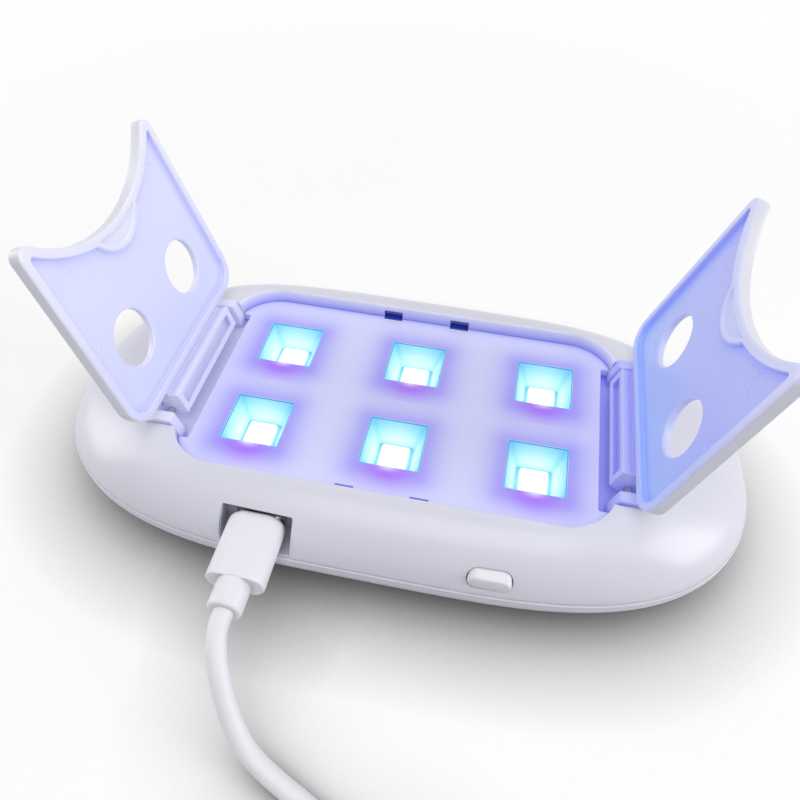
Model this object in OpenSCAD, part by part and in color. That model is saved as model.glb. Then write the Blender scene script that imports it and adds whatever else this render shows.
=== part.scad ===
// Mini nail lamp: a long oval lamp with six LEDs in a recess and two folding leg plates.
// Millimetres, Z up. The origin is on the floor under the middle of the body.
// X runs along the body, and -Y is the front, where the lead and the button are.
// The legs stand open, as the lamp is used.

/* [Body] */
// Length of the body, end to end
body_l = 135; // [134:0.5:138]
// Depth of the body, front to back
body_w = 70; // [70:0.5:72]
// Height of the underside of the lip that runs all round
lip_z = 9.5; // [9:0.1:9.5]
// Height of the lip
lip_h = 1; // [0.9:0.1:1]
// Height of the crest round the recess
crest_z = 20.3; // [20.3:0.1:20.6]
// Wall thickness of the housing and the back cover
wall = 1.8; // [1.7:0.1:1.9]
// Step between the housing and the lip, which makes the shadow line
seam_step = 0.3; // [0.2:0.1:0.4]

/* [Recess] */
// Length of the recess that the folded legs fill
recess_l = 81.2; // [81.2:0.1:82]
// Depth of the recess, front to back
recess_w = 48; // [48:0.1:48.4]
// Radius of the recess's corners
recess_r = 9.6; // [9:0.1:10]
// How far the LED panel lies below the crest
recess_depth = 2.8; // [2.8:0.1:2.9]
// Thickness of the LED panel
panel_t = 1.6; // [1.4:0.1:1.6]

/* [LEDs] */
// Spacing of the three columns of LEDs
led_pitch_x = 26.7; // [26:0.1:27]
// Spacing of the two rows of LEDs
led_pitch_y = 21.6; // [21:0.1:22]
// Width of a reflector pocket at the panel
pocket_top = 11.1; // [10.8:0.1:11.4]
// Width of a reflector pocket at the LED
pocket_bottom = 6.8; // [6.6:0.1:7]
// Width of an LED package
led_w = 5.4; // [5:0.1:5.6]

/* [Legs] */
// Width of a leg, with its sides carried on to the hinge axis
leg_w = 46.9; // [46.5:0.1:47]
// Taper of each side of a leg towards the free end, in degrees
leg_taper = 2.4; // [2.3:0.1:2.5]
// Thickness of a leg at its rim
leg_t = 2.6; // [2.5:0.1:2.6]
// Depth of the field inside the rim
field_depth = 1.2; // [1:0.1:1.3]
// Radius of the scoop in the free end
scoop_r = 27; // [26.8:0.1:27.5]
// Distance of the scoop's centre from the hinge axis
scoop_u = 60.5; // [60.3:0.1:60.6]
// Diameter of a finger hole
hole_d = 10.4; // [10:0.1:10.6]
// Distance of the finger holes from the hinge axis
hole_u = 16; // [15.8:0.1:16.2]
// Spacing of the two finger holes
hole_pitch = 21.2; // [21:0.1:21.4]
// Radius of the half-round finger tab
tab_r = 8.2; // [8:0.1:8.3]
// Lean of an open leg from upright, in degrees
leg_lean = 17.5; // [17:0.5:17.5]

/* [Hinges] */
// Distance of a hinge axis from the middle of the body
hinge_x = 42.7; // [42.6:0.1:42.7]
// Diameter of a hinge pin
pin_d = 1.5; // [1.4:0.1:1.5]
// Running clearance round a pin, on the radius
pin_clear = 0.05; // [0.03:0.01:0.08]
// Length of the knuckle of a leg
knuckle_l = 26; // [25.8:0.1:26.2]
// Gap between the two ears of a hinge
ear_gap = 30.8; // [30.6:0.1:31]
// Thickness of an ear
ear_t = 2.3; // [2.2:0.1:2.4]

/* [Port and lead] */
// Place of the port along the front
port_x = -20.1; // [-20.5:0.1:-19.9]
// Width of the port
port_w = 12.8; // [12.6:0.1:13]
// Width of the plug's moulded body
plug_w = 10.3; // [10.1:0.1:10.5]
// Thickness of the plug's moulded body
plug_t = 5.6; // [5.4:0.1:5.7]
// Diameter of the cord
cord_d = 3.4; // [3.2:0.1:3.4]
// Turns of the coil in which the rest of the lead is put away
coil_turns = 6.5; // [5.5:1:7.5]

/* [Button] */
// Place of the button along the front
button_x = 21; // [20.5:0.1:21.5]
// Height of the middle of the button
button_z = 13.85; // [13.8:0.05:13.9]
// Width of the button
button_w = 7.5; // [7.3:0.1:7.7]
// Height of the button
button_h = 3.2; // [3.1:0.1:3.3]
// Gap round the button
button_gap = 0.15; // [0.1:0.05:0.2]

/* [Hidden] */
$fn = 48;
// Overlap that makes a cut run clear of a face
cut = 1;

// Body outline: half sizes and the two powers of its oval
half_l = body_l / 2;
half_w = body_w / 2;
oval_px = 3.6;
oval_py = 2.2;
seam_z = lip_z + lip_h;
// Crest outline, where the dome turns into the flat rim of the recess
crest_hx = recess_l / 2 + 1.6;
crest_hy = recess_w / 2 + 0.5;
// Power of the dome's section, and of the back cover's
dome_p = 1.65;
bowl_p = 1.8;
// Half sizes of the flat that the lamp rests on
foot_hx = 50;
foot_hy = 21;
// Points round each ring of the shells, and rings up a section
sides = 72;
dome_steps = 12;
bowl_steps = 8;

// The panel's edge steps down to a flange, which butts against the recess wall from below
panel_z = crest_z - recess_depth;
panel_under = panel_z - panel_t;
tub_wall = 1.6;
panel_flange = 0.8;
panel_gap = 0.1;

// LED board
board_t = 1.2;
board_top = 12.6;
board_under = board_top - board_t;
board_l = 74;
board_w = 45;
led_x = [-led_pitch_x, 0, led_pitch_x];
led_y = [-led_pitch_y / 2, led_pitch_y / 2];
led_h = 0.8;
// Reflector cups stand on the board and carry the pockets on below the panel
cup_wall = 1;
cup_z = board_top;

// Hooks that hold the board, and the openings over them
hook_x = 7.3;
hook_w = 3.6;
hook_y = board_w / 2 + 0.25;
hook_t = 1.4;
window_w = 4;

// Screws from the back
screw_x = 51;
screw_y = 13;
screw_r = 1.1;
head_r = 2;
head_z = 5;
boss_z = 9.8;

// Hinges, in the section across the axis: u towards the middle, w up, both from the axis
axis_z = crest_z - leg_t / 2;
open_a = 90 + leg_lean;
barrel_r = 1.65;
pin_in = 11.5;
pin_out = ear_gap / 2 + 1.9;
trough_in = hinge_x - 4.7;
trough_out = hinge_x + 3.2;
trough_z = 15.5;
stop_x = 44.65;
trough_y = ear_gap / 2 + ear_t;
trough_wall_x = 1.1;
trough_wall_y = 1.3;
// Box of the knuckle, which stands proud of the plate's face: its sides and face, then the
// walls round the hollow in it, its ends and its depth
box_u0 = -1.1;
box_u1 = 3.6;
box_w = -3.1;
box_wall = 1.1;
box_end = 1.5;
box_depth = 1.1;
// Inner end of a leg plate beside its neck, and its rims
leg_in = 4.2;
rim_side = 1.7;
rim_hinge = 1.5;
// Roundings of a leg's outline by the hinge and on its horns
leg_corner_r = 5.2;
horn_r = 1.8;
// Centre of the tab, and the dish inside its border
tab_u = scoop_u - scoop_r + 3.3;
tab_rim = 1.1;
dish_depth = 0.4;

// Port, plug and socket
port_z0 = 11.2;
port_z1 = 17.35;
port_back = -29;
socket_z = board_top + 1.63;
socket_mouth = -29.9;
socket_l = 7.35;
socket_w = 8.94;
socket_t = 3.26;
shell_w = 8.25;
shell_t = 2.4;
plug_y0 = -30.4;
plug_y1 = -43;
collar_y1 = -48;
collar_r = 2.95;

// Button stack, front to back
cap_y = -34.4;
flange_y = -28.5;
flange_t = 0.8;
plunger_y = -27.35;
switch_y0 = -27;
switch_y1 = -23.6;
switch_w = 6;
switch_h = 3.2;
switch_z = board_top + switch_h / 2;
cover_t = 0.4;

// Coil: entry point on its outer radius, heading there, and steps of the spiral
coil_pitch = cord_d + 0.5;
coil_mid_r = 6 * cord_d;
coil_out_r = coil_mid_r + coil_pitch * coil_turns / 4;
coil_rings = 24;
coil_z = 1.9;
coil_entry = [21, -79];
coil_entry_a = 66;
coil_centre = coil_entry - coil_out_r * [cos(coil_entry_a), sin(coil_entry_a)];
// The tie goes round the turns opposite the climb from layer to layer
tie_a = 158;
tie_w = 4;
tie_t = 0.36;
tie_half = coil_pitch * (coil_turns - 0.5) / 4 + cord_d / 2 - 1.55;

// Route of the cord from the collar to the coil, chosen by hand
run_route = [
    [-20.1, -48, 14.2], [-20.1, -50, 14.2], [-19.8, -52, 13.9], [-19.2, -54, 13.1],
    [-18.4, -56, 11.8], [-17.3, -58, 10.1], [-16, -60, 8.2], [-14.4, -62, 6.2],
    [-12.3, -64, 4.4], [-9.7, -65.6, 3.1], [-6.7, -67, 2.3], [-3.4, -68.4, 1.9],
    [0.2, -70, 1.9], [5, -72, 1.9], [10, -74.2, 1.9], [14.8, -76.3, 1.9]
];

// Charger plug, which lies on the floor beyond the coil
charger_z = 4.1;
charger_at = [-21.5, -121];
charger_a = 162;
relief_l = 9;
charger_l = 21;
charger_shell_l = 12;

// A point of the body's oval at the angle a
function oval(a, hx, hy) =
    let (u = cos(a))
    [hx * u, sign(sin(a)) * hy * pow(max(0, 1 - pow(abs(u), oval_px)), 1 / oval_py)];

// A point of the crest's outline, spaced to suit the oval
function crest(a) =
    let (u = 1 - pow(1 - abs(cos(a)), 1.6))
    [sign(cos(a)) * crest_hx * u,
     sign(sin(a)) * crest_hy * pow(max(0, 1 - pow(u, 8)), 1 / 6)];

// A ring of points at the height z, part way from the inner to the outer outline
function ring(inner, outer, r, z) =
    [for (i = [0:sides - 1]) let (p = inner[i] * (1 - r) + outer[i] * r) [p[0], p[1], z]];

function oval_points(hx, hy) = [for (i = [0:sides - 1]) oval(i * 360 / sides, hx, hy)];

// Rings of the dome, from the seam up to the crest, for the outer or the inner skin
function dome_rings(inset) =
    let (inner = [for (i = [0:sides - 1]) crest(i * 360 / sides)],
         outer = oval_points(half_l - seam_step - inset, half_w - seam_step - inset),
         top = crest_z - inset)
    [for (k = [0:dome_steps])
        let (t = 90 * (1 - k / dome_steps))
        ring(inner, outer, pow(sin(t), 2 / dome_p),
             seam_z + (top - seam_z) * pow(cos(t), 2 / dome_p))];

// Rings of the bowl under the lip, from the foot up
function bowl_rings(inset) =
    let (inner = oval_points(foot_hx - inset / 2, foot_hy - inset / 2),
         outer = oval_points(half_l - inset, half_w - inset))
    [for (k = [0:bowl_steps])
        let (t = 90 * k / bowl_steps)
        ring(inner, outer, pow(sin(t), 2 / bowl_p),
             inset + (lip_z - inset) * (1 - pow(cos(t), 2 / bowl_p)))];

function flat_ring(points, z) = [for (p = points) [p[0], p[1], z]];

// How far the dome's skin stands forward at the height z, less an inset
function dome_y(z, inset) =
    let (h = (z - seam_z) / (crest_z - seam_z))
    crest_hy + (half_w - seam_step - crest_hy) * pow(1 - pow(h, dome_p), 1 / dome_p) - inset;

// Solid between rings that have the same number of points, closed at both ends
module loft(rings) {
    n = len(rings[0]);
    last = len(rings) - 1;
    mid = function (r) [for (j = [0:2]) [for (p = r) p[j]] * [for (p = r) 1] / len(r)];
    points = concat([for (r = rings) each r], [mid(rings[0]), mid(rings[last])]);
    faces = concat(
        [for (k = [0:last - 1], i = [0:n - 1]) let (j = (i + 1) % n)
            [k * n + i, (k + 1) * n + i, (k + 1) * n + j]],
        [for (k = [0:last - 1], i = [0:n - 1]) let (j = (i + 1) % n)
            [k * n + i, (k + 1) * n + j, k * n + j]],
        [for (i = [0:n - 1]) [n * (last + 1), i, (i + 1) % n]],
        [for (i = [0:n - 1]) [n * (last + 1) + 1, last * n + (i + 1) % n, last * n + i]]
    );
    polyhedron(points, faces);
}

// Box given by its two corners
module span(a, b) {
    translate(a)
        cube(b - a);
}

module rounded_rect(hx, hy, r) {
    square([2 * hx, 2 * (hy - r)], center = true);
    square([2 * (hx - r), 2 * hy], center = true);
    for (sx = [-1, 1], sy = [-1, 1])
        translate([sx * (hx - r), sy * (hy - r)])
            circle(r);
}

// Flat shape with round ends, w wide and h high
module pill(w, h) {
    square([w - h, h], center = true);
    for (s = [-1, 1])
        translate([s * (w - h) / 2, 0])
            circle(h / 2);
}

// Extrudes a shape that is drawn in x and z, from y0 back to y1
module along_y(y0, y1) {
    translate([0, y1, 0])
        rotate([90, 0, 0])
            linear_extrude(y1 - y0)
                children();
}

// Four-sided funnel between two heights, given the half widths there
module frustum(z0, half0, z1, half1) {
    square_ring = function (h, z) [[-h, -h, z], [h, -h, z], [h, h, z], [-h, h, z]];
    loft([square_ring(half0, z0), square_ring(half1, z1)]);
}

// Slope of a reflector pocket's sides
pocket_slope = (pocket_top - pocket_bottom) / 2 / (panel_z - cup_z);

module at_leds() {
    for (x = led_x, y = led_y)
        translate([x, y, 0])
            children();
}

// Copies to both ends of the body
module both_ends() {
    children();
    mirror([1, 0, 0])
        children();
}

// Housing

module recess_outline(grow) {
    rounded_rect(recess_l / 2 + grow, recess_w / 2 + grow, recess_r + grow);
}

module dome_shell() {
    inner = dome_rings(wall);
    difference() {
        loft(dome_rings(0));
        loft(concat([flat_ring(inner[0], seam_z - cut)], inner));
    }
}

// Outline of the panel, cut out at both ends round the hinge troughs and their walls
module panel_outline(grow, wall_x, wall_y) {
    difference() {
        recess_outline(grow);
        both_ends()
            translate([trough_in - wall_x, -trough_y - wall_y])
                square([body_l, 2 * (trough_y + wall_y)]);
    }
}

// Everything that stands under the dome, before the openings are cut
module housing_solid() {
    dome_shell();
    translate([0, 0, panel_under + panel_flange])
        linear_extrude(crest_z - 0.7 - panel_under - panel_flange)
            recess_outline(tub_wall);
    both_ends() {
        span([trough_in - trough_wall_x, -trough_y - trough_wall_y, trough_z - 1.2],
             [trough_out + 1.4, trough_y + trough_wall_y, crest_z - 1.9]);
        for (y = [-screw_y, screw_y])
            translate([screw_x, y, boss_z])
                cylinder(r = 3, h = 7);
    }
    front_block(port_x - port_w / 2 - 1.2, port_x + port_w / 2 + 1.2, seam_z, 18.5, port_back + 1);
    front_block(button_x - 5.5, button_x + 5.5, 11.4, 17.3, flange_y - 0.1);
}

// Block behind the front skin, from its middle back to y1
module front_block(x0, x1, z0, z1, y1) {
    steps = 6;
    skin = [for (i = [0:steps]) let (z = z0 + (z1 - z0) * i / steps) [-dome_y(z, 1.3), z]];
    translate([x0, 0, 0])
        rotate([90, 0, 90])
            linear_extrude(x1 - x0)
                polygon(concat(skin, [[y1, z1], [y1, z0]]));
}

// Snap hook beside the edge of the LED board, at the back (s = 1) or the front (s = -1)
module hook(s) {
    mirror([0, s < 0 ? 1 : 0, 0]) {
        span([hook_x - hook_w / 2, hook_y, board_under - 0.8],
             [hook_x + hook_w / 2, hook_y + hook_t, panel_under + 0.3]);
        span([hook_x - hook_w / 2, hook_y - 0.85, board_under - 0.8],
             [hook_x + hook_w / 2, hook_y + 0.1, board_under - 0.1]);
    }
}

// Windows over the rear hooks, in the recess wall and the edge of the panel
module rear_windows() {
    both_ends()
        span([hook_x - window_w / 2, recess_w / 2 - 0.8, panel_z - 0.4],
             [hook_x + window_w / 2, recess_w / 2 + tub_wall + 0.2, panel_z + 1.7]);
}

module housing_openings() {
    // Recess, down to the floor of the hinge troughs
    translate([0, 0, trough_z])
        linear_extrude(crest_z)
            recess_outline(0);
    both_ends() {
        // Hinge trough, and the narrower slot above it that stops the open leg
        span([trough_in, -trough_y, trough_z], [trough_out, trough_y, axis_z + 0.3]);
        span([trough_in, -trough_y, axis_z], [stop_x, trough_y, crest_z + cut]);
    }
    rear_windows();
    span([port_x - port_w / 2, -half_w - cut, port_z0], [port_x + port_w / 2, port_back, port_z1]);
    translate([port_x, 0, socket_z])
        along_y(port_back - cut, port_back + 1 + cut)
            pill(socket_w + 0.2, socket_t + 0.2);
    translate([button_x, 0, button_z])
        along_y(-half_w - cut, flange_y + cut)
            pill(button_w + 2 * button_gap, button_h + 2 * button_gap);
}

// Section of an ear, in x and z, on the right-hand side
module ear_section() {
    translate([hinge_x, axis_z])
        polygon([[-3.4, trough_z - axis_z - 0.3], [-3.1, -1.45], [-1.9, 2.2], [0.9, 2.2],
                 [3.4, crest_z - axis_z - 0.3], [3.4, trough_z - axis_z - 0.3]]);
}

module led_housing() {
    color("white")
        difference() {
            union() {
                difference() {
                    housing_solid();
                    housing_openings();
                }
                both_ends()
                    for (s = [-1, 1])
                        translate([0, s * (ear_gap + ear_t) / 2, 0])
                            along_y(-ear_t / 2, ear_t / 2)
                                ear_section();
            }
            both_ends()
                translate([hinge_x, 0, axis_z])
                    rotate([90, 0, 0])
                        cylinder(d = pin_d, h = 2 * pin_out, center = true);
            both_ends()
                for (y = [-screw_y, screw_y])
                    translate([screw_x, y, boss_z - cut])
                        cylinder(r = screw_r, h = 5 + cut);
        }
}

// Lamp panel

module pockets() {
    at_leds()
        frustum(cup_z - cut, pocket_bottom / 2 - cut * pocket_slope,
                panel_z + cut, pocket_top / 2 + cut * pocket_slope);
}

// Plate with its flange, and the posts and hooks that hold the board under it
module led_panel() {
    color("white")
        difference() {
            union() {
                translate([0, 0, panel_under]) {
                    linear_extrude(panel_flange)
                        panel_outline(tub_wall, trough_wall_x + panel_gap, trough_wall_y + panel_gap);
                    linear_extrude(panel_t)
                        panel_outline(-panel_gap, 0, panel_gap);
                }
                both_ends() {
                    for (y = led_y)
                        translate([led_pitch_x / 2, y, board_top])
                            cylinder(r = 1.5, h = panel_under + 0.3 - board_top);
                    for (s = [-1, 1])
                        hook(s);
                }
            }
            pockets();
            rear_windows();
            // Slot over each front hook
            both_ends()
                span([hook_x - 2.2, -hook_y + 0.15, panel_under - cut],
                     [hook_x + 1.2, -hook_y + 0.75, panel_z + cut]);
        }
}

module reflector_cups() {
    color("white")
        difference() {
            at_leds()
                frustum(cup_z, pocket_bottom / 2 + cup_wall,
                        panel_under, pocket_top / 2 + cup_wall - panel_t * pocket_slope);
            pockets();
        }
}

// Back cover

module cover_solid() {
    difference() {
        loft(concat(bowl_rings(0), [flat_ring(oval_points(half_l, half_w), seam_z)]));
        loft(concat(bowl_rings(wall),
                    [flat_ring(oval_points(half_l - wall, half_w - wall), seam_z + cut)]));
    }
    // Tongue that locates the housing, and the root that joins it to the wall
    oval_band(half_l - wall + 0.5, half_w - wall + 0.5, half_l - wall - 1.4, half_w - wall - 1.4,
              seam_z - 2.3, seam_z - 0.2);
    oval_band(half_l - wall - 0.55, half_w - wall - 0.55, half_l - wall - 1.4, half_w - wall - 1.4,
              seam_z - 0.5, seam_z + 0.8);
    both_ends() {
        for (y = [-screw_y, screw_y])
            translate([screw_x, y, 1])
                cylinder(r = 3.2, h = boss_z - 1);
        translate([20, 0, 1])
            cylinder(r = 2, h = board_under - 1);
    }
}

// Upright band between two ovals
module oval_band(hx1, hy1, hx0, hy0, z0, z1) {
    translate([0, 0, z0])
        linear_extrude(z1 - z0)
            difference() {
                polygon(oval_points(hx1, hy1));
                polygon(oval_points(hx0, hy0));
            }
}

module back_cover() {
    color("white")
        difference() {
            cover_solid();
            // The tongue is cut away where the port's floor comes down
            span([port_x - port_w / 2 - 2, -half_w + 1, seam_z],
                 [port_x + port_w / 2 + 2, port_back + 4, seam_z + 2]);
            both_ends()
                for (y = [-screw_y, screw_y])
                    translate([screw_x, y, 0]) {
                        translate([0, 0, -cut])
                            cylinder(r = head_r + 0.2, h = head_z + cut);
                        cylinder(r = screw_r + 0.2, h = boss_z + cut);
                    }
        }
}

module case_screws() {
    color("silver")
        both_ends()
            for (y = [-screw_y, screw_y])
                translate([screw_x, y, 0])
                    difference() {
                        union() {
                            translate([0, 0, head_z - 1.4])
                                cylinder(r = head_r, h = 1.4);
                            translate([0, 0, head_z - 0.1])
                                cylinder(r = screw_r, h = 8);
                        }
                        // Cross recess
                        for (a = [0, 90])
                            rotate([0, 0, a])
                                span([-1.2, -0.25, head_z - 2.4], [1.2, 0.25, head_z - 0.6]);
                    }
}

// LED board and what it carries

module led_board() {
    color("seagreen")
        translate([0, 0, board_under])
            linear_extrude(board_t) {
                square([board_l, board_w], center = true);
                translate([port_x - 6, port_back + 1.1])
                    square([12, 8]);
                translate([button_x - 6, switch_y0 + 0.1])
                    square([12, 6]);
            }
}

module led_packages() {
    color("ivory")
        at_leds()
            difference() {
                translate([0, 0, board_top + led_h / 2])
                    cube([led_w, led_w, led_h], center = true);
                translate([0, 0, board_top + 0.3])
                    cylinder(r = 2.1, h = 1);
            }
}

module led_lenses() {
    color("lavender")
        at_leds()
            translate([0, 0, board_top + 0.3])
                rotate_extrude()
                    polygon(concat([[0, 0], [2.1, 0], [2.1, 0.5]],
                                   [for (a = [30:15:90]) [2.1 * cos(a), 0.5 + 0.6 * sin(a)]]));
}

module timer_chip() {
    color("dimgray")
        translate([-led_pitch_x / 2, 0, board_top])
            union() {
                span([-2.5, -2, 0.15], [2.5, 2, 1.6]);
                for (i = [0:3], s = [-1, 1])
                    translate([(i - 1.5) * 1.27 - 0.2, 0, 0])
                        span([0, s > 0 ? 1.9 : -3, 0], [0.4, s > 0 ? 3 : -1.9, 0.4]);
            }
}

module driver_transistor() {
    color("dimgray")
        translate([led_pitch_x / 2, 3.5, board_top])
            union() {
                span([-1.5, -0.7, 0.1], [1.5, 0.7, 1.1]);
                for (x = [-0.95, 0.95])
                    span([x - 0.2, -1.3, 0], [x + 0.2, -0.6, 0.3]);
                span([-0.2, 0.6, 0], [0.2, 1.3, 0.3]);
            }
}

module current_resistors() {
    color("black")
        at_leds()
            span([7, -1.6, board_top], [8.6, 1.6, board_top + 0.6]);
}

module input_capacitor() {
    color("tan")
        span([-13.2, -21, board_top], [-10.7, -17.8, board_top + 1.8]);
}

module protection_diode() {
    color("dimgray")
        union() {
            span([-32.2, -21, board_top + 0.1], [-27.9, -18.4, board_top + 2.2]);
            span([-32.9, -20.4, board_top], [-27.2, -19, board_top + 0.3]);
        }
}

module usb_socket_shell() {
    color("silver")
        translate([port_x, 0, socket_z])
            difference() {
                along_y(socket_mouth, socket_mouth + socket_l)
                    pill(socket_w, socket_t);
                along_y(socket_mouth - cut, socket_mouth + socket_l - 0.3)
                    pill(shell_w + 0.1, shell_t + 0.1);
            }
}

module usb_socket_tongue() {
    back = socket_mouth + socket_l - 0.3;
    color("black")
        translate([port_x, 0, socket_z])
            union() {
                along_y(back - 0.9, back)
                    pill(shell_w + 0.1, shell_t + 0.1);
                span([-3.35, back - 5.2, -0.35], [3.35, back - 0.8, 0.35]);
            }
}

// Switch and button

module switch_body() {
    color("dimgray")
        difference() {
            span([button_x - switch_w / 2, switch_y0 + cover_t, board_top],
                 [button_x + switch_w / 2, switch_y1, board_top + switch_h]);
            translate([button_x, 0, switch_z])
                along_y(switch_y0, switch_y0 + cover_t + 1.2)
                    circle(1.35);
        }
}

module switch_cover() {
    color("silver")
        translate([button_x, 0, switch_z])
            along_y(switch_y0, switch_y0 + cover_t)
                difference() {
                    square([switch_w, switch_h], center = true);
                    circle(0.8);
                }
}

// Snap disc at the back of the switch's cavity, bulged towards the plunger
module switch_dome() {
    color("gold")
        translate([button_x, switch_y0 + cover_t + 1.2, switch_z])
            rotate([90, 0, 0])
                rotate_extrude()
                    polygon([[0, 0.3], [0.7, 0.2], [1.25, 0], [1.25, 0.12], [0.7, 0.32], [0, 0.42]]);
}

module switch_plunger() {
    color("white")
        translate([button_x, 0, switch_z])
            union() {
                along_y(plunger_y, switch_y0 + cover_t + 0.1)
                    circle(0.7);
                along_y(switch_y0 + cover_t + 0.05, switch_y0 + cover_t + 0.35)
                    circle(1.15);
            }
}

module button_cap() {
    color("white")
        translate([button_x, 0, button_z])
            union() {
                along_y(cap_y, flange_y + 0.1)
                    pill(button_w, button_h);
                along_y(flange_y, flange_y + flange_t)
                    pill(button_w + 1.6, button_h + 1.2);
                along_y(flange_y + 0.1, plunger_y)
                    circle(1.25);
            }
}

// Legs, drawn folded: u runs from the hinge axis to the middle of the body, and w is up

// Points along an arc
function arc(c, r, a0, a1, n) =
    [for (i = [0:n]) let (a = a0 + (a1 - a0) * i / n) c + r * [cos(a), sin(a)]];

// Point on the line that runs inside a leg's tapered side, at a distance from it
function beside(u, inset) = [u, leg_w / 2 - inset / cos(leg_taper) - u * tan(leg_taper)];

// Centre of a horn's rounding r: on that line, and r outside the scoop, which grows by the rim
function horn_centre(rim, r) =
    let (m = tan(leg_taper),
         y0 = beside(0, rim + r)[1],
         reach = scoop_r + rim + r,
         b = scoop_u + m * y0,
         u = (b - sqrt(b * b - (1 + m * m) * (scoop_u * scoop_u + y0 * y0 - reach * reach)))
             / (1 + m * m))
    beside(u, rim + r);

// Half outline of a leg for y above 0, drawn in by a rim
function leg_half(rim) =
    let (u0 = leg_in + (rim > 0 ? rim_hinge : 0),
         corner = leg_corner_r - rim,
         tip = max(horn_r - rim, 0.4),
         c = horn_centre(rim, tip),
         a = atan2(c[1], scoop_u - c[0]))
    concat(arc(beside(u0 + corner, rim + corner), corner, 180, 90 - leg_taper, 6),
           arc(c, tip, 90 - leg_taper, -a, 6),
           arc([scoop_u, 0], scoop_r + rim, 180 - a, 180, 14));

function mirrored(points) =
    [for (i = [len(points) - 1:-1:0]) [points[i][0], -points[i][1]]];

module leg_outline(rim) {
    half = leg_half(rim);
    polygon(concat(half, mirrored(half)));
}

// Section of the knuckle and the neck, in u and w
module knuckle_section() {
    neck = leg_in + 0.5;
    neck_w = -1.1;
    circle(barrel_r);
    polygon([[0, leg_t / 2], [neck, leg_t / 2], [neck, neck_w], [box_u1, neck_w],
             [box_u1, box_w], [box_u0, box_w], [-barrel_r, -0.4]]);
}

module folded_leg() {
    half_t = leg_t / 2;
    difference() {
        union() {
            difference() {
                translate([0, 0, -half_t])
                    linear_extrude(leg_t)
                        leg_outline(0);
                // Field inside the rim, open round the tab
                translate([0, 0, -half_t - cut])
                    linear_extrude(field_depth + cut)
                        difference() {
                            leg_outline(rim_side);
                            translate([tab_u, 0])
                                circle(tab_r);
                        }
                // Dish in the tab
                translate([0, 0, -half_t - cut])
                    linear_extrude(dish_depth + cut)
                        intersection() {
                            leg_outline(tab_rim);
                            translate([tab_u, 0])
                                circle(tab_r - tab_rim);
                        }
            }
            along_y(-knuckle_l / 2, knuckle_l / 2)
                knuckle_section();
        }
        // Hollow in the face of the knuckle
        span([box_u0 + box_wall, -knuckle_l / 2 + box_end, box_w - cut],
             [box_u1 - box_wall, knuckle_l / 2 - box_end, box_w + box_depth]);
        // Sockets for the pins
        for (s = [-1, 1])
            translate([0, s * knuckle_l / 2, 0])
                rotate([90, 0, 0])
                    cylinder(r = pin_d / 2 + pin_clear, h = 2 * (knuckle_l / 2 - pin_in + 0.1),
                             center = true);
        for (s = [-1, 1])
            translate([hole_u, s * hole_pitch / 2, -leg_t])
                cylinder(d = hole_d, h = 2 * leg_t);
    }
}

module left_leg() {
    color("whitesmoke")
        translate([-hinge_x, 0, axis_z])
            rotate([0, -open_a, 0])
                folded_leg();
}

module right_leg() {
    color("whitesmoke")
        mirror([1, 0, 0])
            translate([-hinge_x, 0, axis_z])
                rotate([0, -open_a, 0])
                    folded_leg();
}

module hinge_pins(x) {
    color("silver")
        for (s = [-1, 1])
            translate([x, s * (pin_in + pin_out) / 2, axis_z])
                rotate([90, 0, 0])
                    cylinder(d = pin_d, h = pin_out - pin_in, center = true);
}

module left_hinge_pins() {
    hinge_pins(-hinge_x);
}

module right_hinge_pins() {
    hinge_pins(hinge_x);
}

// Plug in the port

// Round-sided section of the plug's body at y, drawn in by an inset, less so in its thickness
function plug_ring(y, inset) =
    let (r = plug_t / 2 - inset / 3,
         half = plug_w / 2 - inset - r)
    [for (i = [0:31])
        let (a = -(i + 0.5) * 360 / 32)
        [port_x + sign(cos(a)) * half + r * cos(a), y, socket_z + r * sin(a)]];

module plug_body() {
    nose = 1.4;
    heel = 0.5;
    color("white")
        difference() {
            loft(concat(
                [for (a = [0:22.5:90]) plug_ring(plug_y0 - nose * (1 - cos(a)), nose * (1 - sin(a)))],
                [for (a = [0:45:90]) plug_ring(plug_y1 + heel * (1 - sin(a)), heel * (1 - cos(a)))]));
            translate([port_x, 0, socket_z])
                along_y(plug_y0 - 2, plug_y0 + cut)
                    pill(shell_w, shell_t);
        }
}

module plug_collar() {
    color("white")
        translate([port_x, 0, socket_z])
            along_y(collar_y1, plug_y1)
                circle(collar_r);
}

module plug_shell() {
    color("silver")
        translate([port_x, 0, socket_z])
            difference() {
                along_y(plug_y0 - 2, plug_y0 + 6.5)
                    pill(shell_w, shell_t);
                along_y(plug_y0 - 1, plug_y0 + 6.5 + cut)
                    pill(shell_w - 0.6, shell_t - 0.6);
            }
}

// Cord

function unit(v) = v / norm(v);

// Rings of a tube that follows the points, square to them
function tube_rings(p, d, n, turn) =
    [for (i = [0:len(p) - 1])
        let (t = unit(p[min(i + 1, len(p) - 1)] - p[max(i - 1, 0)]),
             side = unit(cross(t, [0, 0, 1])),
             up = cross(side, t))
        [for (k = [0:n - 1])
            let (a = turn - k * 360 / n)
            p[i] + d / 2 * (side * cos(a) + up * sin(a))]];

function path_length(p) =
    [for (i = [1:len(p) - 1]) norm(p[i] - p[i - 1])] * [for (i = [1:len(p) - 1]) 1];

// A point of the coil after t turns: it spirals in, climbs a layer, and spirals out
function coil_point(t) =
    let (half = coil_turns / 2,
         a = coil_entry_a - 360 * t,
         r = coil_out_r - coil_pitch * (half - abs(half - t)),
         climb = min(1, max(0, (t - half) * 2 + 0.5)),
         c = coil_centre + r * [cos(a), sin(a)])
    [c[0], c[1], coil_z + coil_pitch * climb];

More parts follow.
